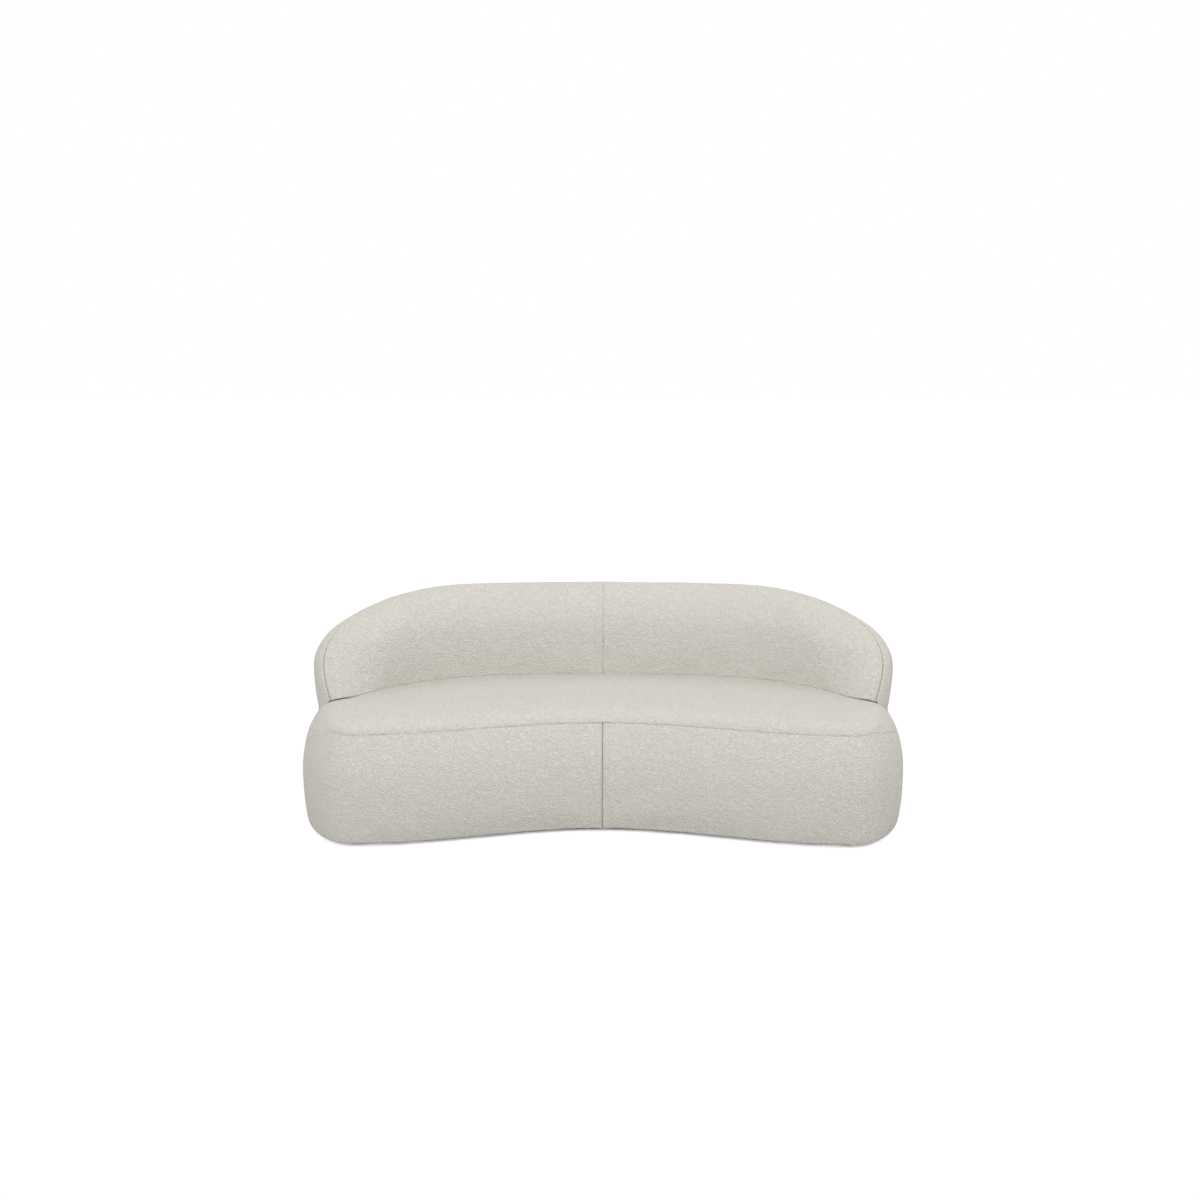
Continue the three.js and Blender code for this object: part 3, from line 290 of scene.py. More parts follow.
class Block:
    """The seat block: its outline, spine, side and crown."""

    def __init__(self, s):
        self.s = s
        self.half = s.width / 2
        lobe = self.half - s.lobe_corner
        ease = s.front_ease * lobe
        run = s.depth - s.widest_setback
        front = [(0, s.front_recess), (ease, s.front_recess), (lobe - ease, 0), (lobe, 0)]
        corner = [
            (lobe, 0), (lobe + s.lobe_round * s.lobe_corner, 0),
            (self.half, s.widest_setback * (1 - s.side_round)), (self.half, s.widest_setback),
        ]
        rear = [
            (self.half, s.widest_setback), (self.half, s.widest_setback + s.rear_side * run),
            (s.rear_flat * self.half, s.depth), (0, s.depth),
        ]
        self.front = Walk([front, corner])
        self.rear = Walk([rear])
        self.side = Walk([front, corner, rear])
        self.seat_height = s.seam_height + s.crown_height
        self.crown_inset = s.seam_inset + s.crown_reach
        self.outline = self.side.places[::OUTLINE_STEP]
        self.outline_dips = self.dip(self.side.slopes[::OUTLINE_STEP])

    def spine(self, x):
        s = self.s
        middle = (s.front_recess + s.depth) / 2
        reach = s.spine_reach * x
        bow = (x / self.half) ** 2
        return np.stack([reach, middle + (s.widest_setback - middle) * bow], -1)

    def points(self, places, slopes, insets, shares, heights):
        """Grid of places: a row for each inset, share and height, a column for each place of the outline."""
        outwards = np.stack([slopes[:, 1], -slopes[:, 0]], -1)
        spine = self.spine(places[:, 0])
        rows = []
        for inset, part, z in zip(insets, shares, heights):
            p = places - outwards * np.minimum(inset, self.s.offset_reach)[:, None]
            inward = spine - p
            inward /= np.linalg.norm(inward, axis=1)[:, None]
            p = p + inward * np.maximum(inset - self.s.offset_reach, 0)[:, None]
            p = p + (spine - p) * part
            rows.append(np.column_stack([p[:, 0], p[:, 1] - self.s.depth / 2, z]))
        return np.array(rows)

    def dip(self, slopes):
        """How much lower the seam runs at places of the outline, by its direction there."""
        s = self.s
        turn = np.degrees(np.arctan2(slopes[:, 1], slopes[:, 0]))
        turn = np.where(turn < -90, 180, turn)
        down = eased((turn - s.dip_start) / (s.dip_full - s.dip_start)) ** s.dip_power
        return s.seam_dip * down * (1 - eased((turn - s.dip_end) / (s.dip_gone - s.dip_end)))

    def over_seam(self, dip):
        """Insets and heights from the seam up to the flat of the seat. Over a lowered seam the side
        runs on into a rounder edge."""
        s = self.s
        z = s.seam_height - dip
        low = np.array([self.side_inset(z), z])
        reach = s.dip_blend * eased(dip / s.dip_join)
        start = math.acos(1 - reach / s.crown_reach)
        turn = np.linspace(start, math.pi / 2, EDGE_POINTS)
        edge = np.array([
            s.seam_inset + s.crown_reach * (1 - np.cos(turn)), s.seam_height + s.crown_height * np.sin(turn),
        ])
        if reach <= 0:
            return edge
        pull = np.linalg.norm(edge[:, 0] - low)
        lead = low - [self.side_inset(z - s.edge_round), z - s.edge_round]
        follow = np.array([s.crown_reach * math.sin(start), s.crown_height * math.cos(start)])
        lead *= pull / np.linalg.norm(lead) / 3
        follow *= pull / np.linalg.norm(follow) / 3
        blend, _ = bezier([low, low + lead, edge[:, 0] - follow, edge[:, 0]], np.linspace(0, 1, BLEND_POINTS))
        return np.concatenate([blend[:-1].T, edge], axis=1)

    def side_inset(self, z):
        s = self.s
        down = np.maximum(s.widest_height - z, 0) / (s.widest_height - s.bottom)
        up = np.maximum(z - s.widest_height, 0) / (s.seam_height - s.widest_height)
        return s.foot_inset * down**s.foot_power + s.seam_inset * up**s.seam_power

    def cover_heights(self, xy):
        """Heights of the cover at places in plan, with y from the lobes' front."""
        here = np.column_stack([np.abs(xy[:, 0]), xy[:, 1]])
        away = np.sqrt(((here[:, None] - self.outline[None]) ** 2).sum(2))
        heights = []
        for inset, nearest in zip(away.min(1), away.argmin(1)):
            dip = self.outline_dips[nearest]
            side = np.linspace(self.s.widest_height, self.s.seam_height - dip, HEIGHT_POINTS)[:-1]
            insets, levels = self.over_seam(dip)
            insets = np.concatenate([self.side_inset(side), insets])
            heights.append(np.interp(inset, insets, np.concatenate([side, levels])))
        return np.array(heights)

    def band_profile(self, step, slopes):
        """Insets and heights from the fold under the block up to the seam, at places of the outline."""
        s = self.s
        turn = np.linspace(-math.pi / 2, 0, FOLD_POINTS)
        edge_z = s.bottom + s.edge_round * (1 + np.sin(turn))
        edge = self.side_inset(edge_z) + s.edge_round * (1 - np.cos(turn))
        fold_rows = np.linspace(0, s.fold, 3)
        round_rows = s.fold + np.linspace(0, s.edge_round * math.pi / 2, 6)[1:]
        rest = None
        columns = []
        for dip in (0, *self.dip(slopes)):
            z = np.linspace(s.bottom + s.edge_round, s.seam_height - dip, SIDE_POINTS)[1:]
            insets = np.concatenate([[edge[0] + s.fold], edge, self.side_inset(z)])
            heights = np.concatenate([[s.bottom], edge_z, z])
            runs = run_of(insets, heights)
            over = runs[-1] - round_rows[-1]
            if rest is None:
                rest = spaced(over, step, False, True)[1:] / over
            at = np.concatenate([fold_rows, round_rows, round_rows[-1] + rest * over])
            columns.append((np.interp(at, runs, insets), np.interp(at, runs, heights)))
        return np.array(columns[1:]).transpose(1, 2, 0)

    def crown_profile(self, step, slopes):
        """Insets, shares of the way to the spine and heights, from the seam to the spine, at places of
        the outline."""
        s = self.s
        lines = [self.over_seam(dip) for dip in self.dip(slopes)]
        runs = [run_of(*line) for line in lines]
        longest = max(run[-1] for run in runs)
        at = spaced(longest, step, True, False) / longest
        insets, heights = (
            np.array([np.interp(at * run[-1], run, line[i]) for run, line in zip(runs, lines)]).T for i in (0, 1)
        )
        count = max(3, round((s.depth - s.front_recess) / 2 / step * SPINE_ROWS))
        shares = np.linspace(0, 1, count + 1)[1:]
        flat = np.ones((count, len(slopes)))
        lift = s.crown_rise * eased((shares - RISE_START) / RISE_RUN)
        return (
            np.concatenate([insets, flat * self.crown_inset]),
            np.concatenate([np.zeros(len(at)), shares]),
            np.concatenate([heights, flat * (self.seat_height + lift)[:, None]]),
        )


class Back:
    """The backrest: its mid line in plan, and its section at each part of its height."""

    def __init__(self, s, block):
        self.s = s
        self.block = block
        bend = np.array([math.cos(s.bend_angle), -math.sin(s.bend_angle)])
        knee = np.array([s.bend_x, s.bend_setback])
        tip = np.array([s.tip_x, s.tip_setback])
        lead = np.array([-math.sin(s.tip_angle), math.cos(s.tip_angle)]) * s.tip_lead
        self.mid = Walk([
            [(0, s.mid_setback), (s.flat_reach, s.mid_setback), knee - bend * s.bend_lead, knee],
            [knee, knee + bend * s.bend_follow, tip + lead, tip],
        ])

    def round_in(self, level, height, power):
        """How much is rounded away at a level, evened out so that the round starts softly."""
        spread = self.s.round_blend * eased((1 - level) / self.s.round_blend / 2)
        total = 0
        for part in BLEND_STEPS:
            up = np.maximum(0, 1 - (1 - level - part * spread) * self.s.rise / height)
            total = total + 1 - np.maximum(0, 1 - up**power) ** (1 / power)
        return total / len(BLEND_STEPS)

    def section(self, level):
        s = self.s
        flare = 1 - np.maximum(0, 1 - level / s.flare_part) ** s.flare_power
        outer = s.half_base + s.flare * flare
        inner = s.half_base - s.lean * level
        full = (outer + inner) / 2
        half = full * (1 - self.round_in(level, s.top_round, s.round_power))
        drawn = s.end_lean * level + s.end_round * self.round_in(level, s.end_round, s.end_power)
        shoulder = self.mid.length - drawn - s.nose * full
        return (outer - inner) / 2, half, shoulder

    def beside(self, reach, out):
        along = np.minimum(reach, self.mid.length)
        place, slope = self.mid.at(along)
        over = reach - along
        x = place[..., 0] + slope[..., 0] * over - slope[..., 1] * out
        y = place[..., 1] + slope[..., 1] * over + slope[..., 0] * out
        return x, y

    def resting(self, x, y):
        """Height of the foot on the seat's cover."""
        s = self.s
        heights = self.block.cover_heights(np.column_stack([x, y]))
        sloping = eased((self.block.seat_height - heights) / s.sink_drop)
        return heights + s.rest_gap - (s.rest_gap + s.sink) * sloping

    def points(self, columns, rows):
        """Grid of places. A column runs from 0 to 1 along the outer face, to 2 round the nose and to 3
        along the inner face. A row is a level, a depth drawn in at the foot and a rise over it."""
        s = self.s
        turn = np.radians(np.clip(columns - 1, 0, 1) * 180 - 90)
        along = ways(columns)
        low = self.block.seat_height
        grid = []
        for level, drawn, lift in rows:
            middle, half, shoulder = self.section(np.array(level, float))
            half = half - drawn
            reach = along * shoulder + np.maximum(s.nose * half, 0) * np.cos(turn) * (along >= 1)
            x, y = self.beside(reach, middle - half * np.sin(turn))
            if level == 0:
                rest = self.resting(x, y)
            z = np.full(len(x), low + s.rise * level)
            if level < s.straight:
                foot = rest + lift
                z = foot + (low + s.rise * s.straight - foot) * level / s.straight
            grid.append(np.column_stack([x, y - self.block.s.depth / 2, z]))
        return np.array(grid)

    def core(self, columns, rows):
        """A place inside the back for each point of the grid."""
        grid = []
        for level, _, _ in rows:
            level = min(level, CORE_LEVEL)
            middle, _, shoulder = self.section(np.array(level, float))
            x, y = self.beside(ways(columns) * shoulder * CORE_REACH, middle)
            z = np.full(len(x), self.block.seat_height + self.s.rise * level)
            grid.append(np.column_stack([x, y - self.block.s.depth / 2, z]))
        return np.array(grid)


def ways(columns):
    """How far out the columns lie: 1 from one end of the nose to the other."""
    return np.where(columns < 1, columns, np.where(columns > 2, 3 - columns, 1))


# Making panels


def deselect():
    if bpy.context.object and bpy.context.object.mode != "OBJECT":
        bpy.ops.object.mode_set(mode="OBJECT")
    bpy.ops.object.select_all(action="DESELECT")


def activate(obj):
    deselect()
    obj.select_set(True)
    bpy.context.view_layer.objects.active = obj


def apply(obj, kind, **values):
    activate(obj)
    modifier = obj.modifiers.new(kind.title(), kind)
    for key, value in values.items():
        setattr(modifier, key, value)
    bpy.ops.object.modifier_apply(modifier=modifier.name)


def read_points(obj):
    flat = np.empty(len(obj.data.vertices) * 3)
    obj.data.vertices.foreach_get("co", flat)
    return flat.reshape(-1, 3)


def write_points(obj, points):
    obj.data.vertices.foreach_set("co", np.ascontiguousarray(points, float).ravel())
    obj.data.update()


def read_normals(obj):
    flat = np.empty(len(obj.data.vertices) * 3, np.float32)
    obj.data.vertex_normals.foreach_get("vector", flat)
    return flat.reshape(-1, 3).astype(float)


def edit(*steps):
    """Runs mesh operators in edit mode on the active object, each with its values."""
    bpy.ops.object.mode_set(mode="EDIT")
    for name, values in steps:
        getattr(bpy.ops.mesh, name)(**values)
    bpy.ops.object.mode_set(mode="OBJECT")


ALL = ("select_all", {"action": "SELECT"})
NONE = ("select_all", {"action": "DESELECT"})
MERGE = 0.0001
FACET_MERGE = 0.00002


def grid_sheet(name, places, core, dropped=None):
    """A grid laid on places, its doubles merged and its faces turned outwards."""
    rows, columns = places.shape[:2]
    deselect()
    bpy.ops.mesh.primitive_grid_add(x_subdivisions=columns - 1, y_subdivisions=rows - 1, size=1)
    obj = bpy.context.object
    obj.name = obj.data.name = name
    if len(obj.data.vertices) != rows * columns:
        raise RuntimeError(name + ": the grid has another number of points")
    write_points(obj, places.reshape(-1, 3))
    edit(NONE)
    if dropped is not None:
        for polygon in obj.data.polygons:
            r, c = divmod(min(polygon.vertices), columns)
            polygon.select = bool(dropped[r, c])
        bpy.context.tool_settings.mesh_select_mode = (False, False, True)
        edit(("delete", {"type": "FACE"}))
    outward = (places - core).reshape(-1, 3)
    lean = sum(np.dot(outward[face.vertices[0]], face.normal) * face.area for face in obj.data.polygons)
    turned = [("flip_normals", {})] if lean < 0 else []
    edit(ALL, *turned, ("remove_doubles", {"threshold": MERGE}), NONE)
    return obj


def border(obj):
    """Vertices on the open edges of a sheet."""
    used = {}
    for polygon in obj.data.polygons:
        for key in polygon.edge_keys:
            used[key] = used.get(key, 0) + 1
    return sorted({v for key, times in used.items() if times == 1 for v in key})


def tree_of(points, chosen):
    tree = kdtree.KDTree(len(chosen))
    for i in chosen:
        tree.insert(points[i], i)
    tree.balance()
    return tree


CLOTH = {
    "quality": 4, "mass": 0.4, "tension_stiffness": 25, "compression_stiffness": 25, "shear_stiffness": 12,
    "bending_stiffness": 3, "use_pressure": True, "vertex_group_mass": "held",
}
# Per cent of a panel's points that lie under its fullest part
FULLEST = 98
# How suddenly a cover rolls in at a seam
ROLL_POWER = 1.4
# Part of the noise that the puckers are read from
PUCKER_PLACE = Vector((3.1, 0, 0))


def inflate(obj, u):
    """The filling presses the cover out between its seams, which stay where they are."""
    rim = border(obj)
    obj.vertex_groups.new(name="held").add(rim, 1.0, "REPLACE")
    start, normals = read_points(obj), read_normals(obj)
    free = np.ones(len(start))
    free[rim] = 0
    tree = tree_of(start, rim)
    away = np.array([tree.find(place)[2] for place in start])
    slack = start - normals * (u.slack * free)[:, None]
    write_points(obj, slack)
    activate(obj)
    modifier = obj.modifiers.new("Cloth", "CLOTH")
    for key, value in CLOTH.items():
        setattr(modifier.settings, key, value)
    modifier.settings.uniform_pressure_force = u.pressure
    modifier.settings.effector_weights.gravity = 0
    modifier.collision_settings.use_collision = False
    modifier.point_cache.frame_start = 1
    modifier.point_cache.frame_end = u.frames
    for number in range(1, u.frames + 1):
        bpy.context.scene.frame_set(number)
    bpy.ops.object.modifier_apply(modifier=modifier.name)
    bpy.context.scene.frame_set(1)
    moved = np.maximum(((read_points(obj) - slack) * normals).sum(1), 0)
    moved *= u.swell / max(float(np.percentile(moved, FULLEST)), u.slack)
    moved = u.slack + (moved - u.slack) * (1 - np.exp(-((away / u.hold) ** 2)))
    write_points(obj, slack + normals * (moved * free)[:, None])


def sew(obj, u, seam_depth):
    """Rolls the cover in at its seams, and gives it puckers beside them and a soft unevenness."""
    points, normals = read_points(obj), read_normals(obj)
    depths = {i: seam_depth(points[i]) for i in border(obj)}
    edge = [i for i, (depth, _, _) in depths.items() if depth > 0]
    beside = {i: [] for i in edge}
    for a, b in (tuple(line.vertices) for line in obj.data.edges):
        for i, j in ((a, b), (b, a)):
            if i in beside and j not in depths:
                beside[i].append(points[j])
    tree = tree_of(points, edge)
    moved = points.copy()
    for i, point in enumerate(points):
        spot, k, distance = tree.find(point)
        depth, lean, gap = depths[k]
        depth *= u.tuck * math.exp(-((distance / u.tuck_width) ** ROLL_POWER))
        inward = normals[i] + (0, 0, lean)
        inward *= -depth / np.linalg.norm(inward)
        near = math.exp(-distance / u.pucker_width * 2)
        ripple = noise.noise(spot / u.pucker_step + PUCKER_PLACE)
        swell = noise.noise(Vector(point) / u.unevenness_step) * u.unevenness
        moved[i] += normals[i] * (ripple * u.pucker * near + swell * (1 - near)) + inward
        if gap and beside.get(i):
            away = np.mean(beside[i], axis=0) - point
            moved[i] += away * gap / np.linalg.norm(away)
    write_points(obj, moved)


def round_the_seat(u, lean, sizes):
    """The seam round the seat: slight, and deeper where the front seam meets it. Where it isn't lowered
    its two sides lean, to roll in the same way."""
    def depth(p):
        crossing = math.exp(-((p[0] / u.crossing) ** 2)) * (p[1] < 0)
        up = 1 - eased((sizes.seam_height - p[2]) / sizes.dip_join)
        return u.seat_seam + (1 - u.seat_seam) * crossing, float(lean * up), 0.0

    return depth


def finish_piece(obj, material, node):
    """Smooths a finished mesh, gives it its material and puts it in the frame."""
    for polygon in obj.data.polygons:
        polygon.use_smooth = True
    obj.data.materials.clear()
    obj.data.materials.append(material)
    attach(obj, "root")
    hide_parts(node)


def finish_panel(obj, u, seam_depth, node, finishes):
    """Inflates, subdivides, sews and thickens a panel. A seam's depth comes with its lean and gap."""
    inflate(obj, u)
    apply(obj, "SUBSURF", levels=1, render_levels=1, boundary_smooth="PRESERVE_CORNERS")
    sew(obj, u, seam_depth)
    obj.vertex_groups.clear()
    apply(obj, "SOLIDIFY", thickness=u.thickness, offset=-1)
    finish_piece(obj, finish_of("boucle", finishes), node)


def mirrored(places):
    flipped = places.copy()
    flipped[..., 0] *= -1
    return flipped


# Materials


class Web:
    """Adds nodes to a tree and links them."""

    def __init__(self, tree):
        self.tree = tree

    def link(self, start, end):
        self.tree.links.new(start, end)

    def add(self, kind, inputs=None, **values):
        node = self.tree.nodes.new("ShaderNode" + kind)
        for key, value in values.items():
            setattr(node, key, value)
        for key, value in (inputs or {}).items():
            if isinstance(value, bpy.types.NodeSocket):
                self.link(value, node.inputs[key])
            else:
                node.inputs[key].default_value = value
        return node

    def math(self, operation, a, b=0.0, c=0.0):
        return self.add("Math", {0: a, 1: b, 2: c}, operation=operation).outputs[0]

    def vector(self, operation, a, b):
        second = "Scale" if operation == "SCALE" else 1
        return self.add("VectorMath", {0: a, second: b}, operation=operation).outputs[0]

    def ramp(self, value, low, high, bottom=0.0, top=1.0):
        node = self.add(
            "MapRange",
            {"Value": value, "From Min": low, "From Max": high, "To Min": bottom, "To Max": top},
            interpolation_type="SMOOTHSTEP",
        )
        return node.outputs["Result"]

    def mix(self, factor, a, b, blend="MIX"):
        node = self.add("Mix", {0: factor, 6: a, 7: b}, data_type="RGBA", blend_type=blend)
        return node.outputs[2]


def node_group(name, inputs, outputs):
    """An empty group with its web, what it is given and what it gives."""
    group = bpy.data.node_groups.new(name, "ShaderNodeTree")
    for direction, labels in (("INPUT", inputs), ("OUTPUT", outputs)):
        for label in labels:
            kind = "NodeSocketVector" if label == "Vector" else "NodeSocketFloat"
            group.interface.new_socket(name=label, in_out=direction, socket_type=kind)
    given = group.nodes.new("NodeGroupInput").outputs
    return group, Web(group), given, group.nodes.new("NodeGroupOutput").inputs


def loops_group():
    """Looped pile: small nubs of uneven size with curled threads between them. Its tone is the pile's height,
    which paints shade into the low places, with a random patch tone added.
    """
    group, web, given, gives = node_group("Boucle loops", ["Vector"], ["Height", "Tone"])
    place = given["Vector"]
    stir = web.add("TexNoise", {"Vector": place, "Scale": 45.0, "Detail": 2.0})
    pull = web.vector("SUBTRACT", stir.outputs["Color"], (0.5, 0.5, 0.5))
    bent = web.vector("ADD", place, web.vector("SCALE", pull, 0.01))
    turned = web.add("VectorRotate", {"Vector": bent, "Angle": -0.65}, rotation_type="Y_AXIS").outputs[0]
    drawn = web.vector("MULTIPLY", turned, (85.0, 260.0, 260.0))
    curl = web.add("TexNoise", {"Vector": drawn, "Scale": 1.0, "Detail": 2.0, "Distortion": 0.4})
    thread = web.ramp(curl.outputs["Fac"], 0.3, 0.7)
    big = web.add("TexVoronoi", {"Vector": bent, "Scale": 190.0}, feature="SMOOTH_F1")
    nub = web.ramp(big.outputs["Distance"], 0.1, 0.7, 1.0, 0.0)
    height = web.math("MULTIPLY_ADD", thread, 0.6, web.math("MULTIPLY", nub, 0.4))
    patch = web.add("TexNoise", {"Vector": place, "Scale": 9.0, "Detail": 3.0})
    # The tone is partly a random patch tone and partly painted shade: lower pile gets the darker colour
    tone = web.math("MULTIPLY_ADD", web.math("SUBTRACT", patch.outputs["Fac"], 0.5), 0.25, height)
    web.link(height, gives["Height"])
    web.link(tone, gives["Tone"])
    return group


def grain_group():
    """Wood grain along X with annual rings."""
    group, web, given, gives = node_group("Wood grain", ["Vector"], ["Height"])
    flat = web.add("Mapping", {"Vector": given["Vector"], "Scale": (1.2, 14.0, 14.0)}).outputs[0]
    rings = web.add("TexWave", {
        "Vector": flat, "Scale": 1.4, "Distortion": 5.0, "Detail": 3.0, "Detail Scale": 1.6,
    })
    pores = web.add("TexNoise", {"Vector": flat, "Scale": 24.0, "Detail": 4.0})
    rings = web.math("MULTIPLY", rings.outputs["Fac"], 0.55)
    web.link(web.math("MULTIPLY_ADD", pores.outputs["Fac"], 0.45, rings), gives["Height"])
    return group


def weave_group():
    """Crossed threads, as far apart as the pitch."""
    group, web, given, gives = node_group("Weave", ["Vector", "Pitch"], ["Height"])
    parts = web.add("SeparateXYZ", {0: given["Vector"]}).outputs
    turns = [web.math("DIVIDE", parts[i], given["Pitch"]) for i in (0, 1)]
    waves = [web.math("SINE", web.math("MULTIPLY", turn, math.tau)) for turn in turns]
    web.link(web.math("MULTIPLY_ADD", web.math("MULTIPLY", *waves), 0.5, 0.5), gives["Height"])
    return group


def speckle_group():
    """Fine pores or moulded grain."""
    group, web, given, gives = node_group("Speckle", ["Vector", "Scale"], ["Height"])
    cells = web.add("TexVoronoi", {"Vector": given["Vector"], "Scale": given["Scale"]})
    cloud = web.add("TexNoise", {"Vector": given["Vector"], "Scale": 14.0, "Detail": 3.0})
    cells = web.math("MULTIPLY", cells.outputs["Distance"], 0.6)
    web.link(web.math("MULTIPLY_ADD", cloud.outputs["Fac"], 0.4, cells), gives["Height"])
    return group


def four(rgb, factor=1.0):
    return (*(min(1.0, part * factor) for part in rgb), 1.0)


def base_material(name, group=None, **values):
    """A material with its web and shader, and the outputs of a group or of the object's place."""
    material = bpy.data.materials.new(name)
    material.use_nodes = True
    web = Web(material.node_tree)
    shader = material.node_tree.nodes["Principled BSDF"].inputs
    for key, value in values.items():
        shader[key.replace("_", " ").title()].default_value = value
    place = web.add("TexCoord").outputs["Object"]
    if group is None:
        return material, web, shader, place
    return material, web, shader, web.add("Group", {"Vector": place}, node_tree=group)


def dress(web, shader, tone, dark, light, **bump):
    """The colour follows a tone between two shades, and the normal a height."""
    web.link(web.mix(tone, dark, light), shader["Base Color"])
    web.link(web.add("Bump", {key.title(): value for key, value in bump.items()}).outputs[0], shader["Normal"])


def boucle_material(f):
    material, web, shader, loops = base_material(
        "boucle", loops_group(), roughness=0.95, sheen_weight=0.06, sheen_roughness=0.6,
        sheen_tint=four(f.boucle),
    )
    shader["Specular IOR Level"].default_value = 0.1
    # Painted shade: where the pile is low the colour moves towards the painted shade between the loops
    dress(
        web, shader, web.ramp(loops.outputs["Tone"], 0.1, 0.8), four(f.boucle_shade), four(f.boucle),
        strength=0.9, distance=0.0036, height=loops.outputs["Height"],
    )
    return material


# By slot: the colour, the pattern and its pitch or scale, the darkest and lightest shade over the
# colour, the depth of the bump, and the shader's values
INSIDE = {
    "foam": ("foam", "speckle", 600.0, 0.86, 1.08, 0.0006, {"roughness": 0.92}),
    "plywood": ("plywood", "grain", None, 0.72, 1.2, 0.0003, {"roughness": 0.62}),
    "pine": ("pine", "grain", None, 0.74, 1.18, 0.0003, {"roughness": 0.6}),
    "plinth": ("black_board", "grain", None, 0.6, 1.5, 0.0002, {"roughness": 0.7}),
    "dust_fabric": ("black_fabric", "weave", 0.0016, 0.7, 1.5, 0.0002, {"roughness": 0.95}),
    "webbing": ("webbing", "weave", 0.003, 0.6, 2.0, 0.0005, {"roughness": 0.85}),
    "glides": ("nylon", "speckle", 900.0, 0.8, 1.3, 0.0001, {"roughness": 0.5}),
    "zinc": ("zinc", "speckle", 300.0, 0.85, 1.1, 0.00005, {"roughness": 0.35, "metallic": 1.0}),
}


def frame_materials(f):
    """Materials for what is inside, by the record's slot."""
    groups = {"grain": grain_group(), "weave": weave_group(), "speckle": speckle_group()}
    made = {}
    for slot, (rgb, pattern, size, dark, light, bump, values) in INSIDE.items():
        rgb = getattr(f, rgb)
        made[slot], web, shader, node = base_material(slot, groups[pattern], **values)
        if size:
            node.inputs[1].default_value = size
        height = node.outputs["Height"]
        dress(web, shader, height, four(rgb, dark), four(rgb, light), strength=0.5, distance=bump, height=height)
    return made


finishes_made = {}


def finish_of(slot, finishes):
    """The material of a slot. All are made the first time that one is asked for."""
    if not finishes_made:
        finishes_made.update(frame_materials(finishes), boucle=boucle_material(finishes))
    return finishes_made[slot]


# Operators


def settings(context):
    scene = context.scene
    return scene.sofa_block, scene.sofa_back, scene.sofa_upholstery, scene.sofa_finishes


class SOFA_OT_seat(bpy.types.Operator):
    """Makes the crowned top of the seat, inside its seam"""

    bl_idname = "sofa.seat"
    bl_label = "Seat top"
    bl_options = {"REGISTER", "UNDO"}

    def execute(self, context):
        sizes, _, u, finishes = settings(context)
        block = Block(sizes)
        runs = spaced(block.front.length, u.seat_step, False, False)
        places, slopes = block.front.at(runs)
        x = places[:, 0]
        order = np.argsort(block.rear.places[:, 0])
        rear_runs = np.interp(x, block.rear.places[order, 0], block.rear.runs[order])
        rear_runs[0], rear_runs[-1] = block.rear.length, 0
        rear, rear_slopes = block.rear.at(rear_runs)
        half = np.concatenate([places, rear[-2::-1]])
        half_slopes = np.concatenate([slopes, rear_slopes[-2::-1]])
        half[0, 0] = half[-1, 0] = 0
        insets, shares, heights = block.crown_profile(u.step, half_slopes)
        insets[0] += u.seam_gap
        right = block.points(half, half_slopes, insets, shares, heights)
        ring = np.concatenate([right, mirrored(right)[:, -2::-1]], axis=1)
        core = ring.copy()
        core[..., 2] -= sizes.seam_height
        obj = grid_sheet("seat_top", ring, core)
        finish_panel(obj, u, round_the_seat(u, u.seat_lean, sizes), "seat_cover", finishes)
        return {"FINISHED"}


class SOFA_OT_band(bpy.types.Operator):
    """Makes the two halves of the band round the seat block"""

    bl_idname = "sofa.band"
    bl_label = "Band"
    bl_options = {"REGISTER", "UNDO"}

    def execute(self, context):
        sizes, _, u, finishes = settings(context)
        block = Block(sizes)
        runs = spaced(block.side.length, u.step, True, True)
        places, slopes = block.side.at(runs)
        places[0, 0] = places[-1, 0] = u.front_gap
        insets, heights = block.band_profile(u.step, slopes)
        heights[-1] -= u.seam_gap
        right = block.points(places, slopes, insets, np.zeros(len(insets)), heights)
        spine = block.spine(places[:, 0])
        core = right.copy()
        core[..., 0] = spine[None, :, 0]
        core[..., 1] = spine[None, :, 1] - sizes.depth / 2
        floor_fold = sizes.bottom + sizes.edge_round
        top_seam = round_the_seat(u, -u.seat_lean, sizes)

        def depth(p):
            if p[2] < floor_fold:
                return 0.0, 0.0, 0.0
            in_front = abs(p[0]) < u.tuck and p[2] < sizes.seam_height - u.tuck
            return (u.front_seam, 0.0, 0.0) if in_front else top_seam(p)

        for side, grid, inside in (("right", right, core), ("left", mirrored(right), mirrored(core))):
            obj = grid_sheet("band_" + side, grid, inside)
            finish_panel(obj, u, depth, "band_cover_" + side, finishes)
        return {"FINISHED"}


def rounded_corner(across, up, radius, roundness, fade_across, fade_up):
    """How far each crossing of a grid moves so that two seams meet in a round corner.

    across and up are distances from the seams, positive inside the outer panel. Past the seams the
    move fades out over the two fades. A roundness under 1 keeps the faces at the corner open."""
    a = np.clip(1 - across / radius, 0, 1)
    b = np.clip(1 - up / radius, 0, 1)
    keep = eased(1 + np.minimum(across, 0) / fade_across) * np.clip(1 + np.minimum(up, 0) / fade_up, 0, 1)
    return (
        a * (1 - np.sqrt(1 - roundness * b**2 / 2)) * radius * keep,
        b * (1 - np.sqrt(1 - roundness * a**2 / 2)) * radius * keep,
    )


def grid_runs(grid, axis):
    """Distances along the columns or the rows of a grid."""
    steps = np.linalg.norm(np.diff(grid, axis=axis), axis=2)
    return np.insert(np.cumsum(steps, axis=axis), 0, 0, axis=axis)


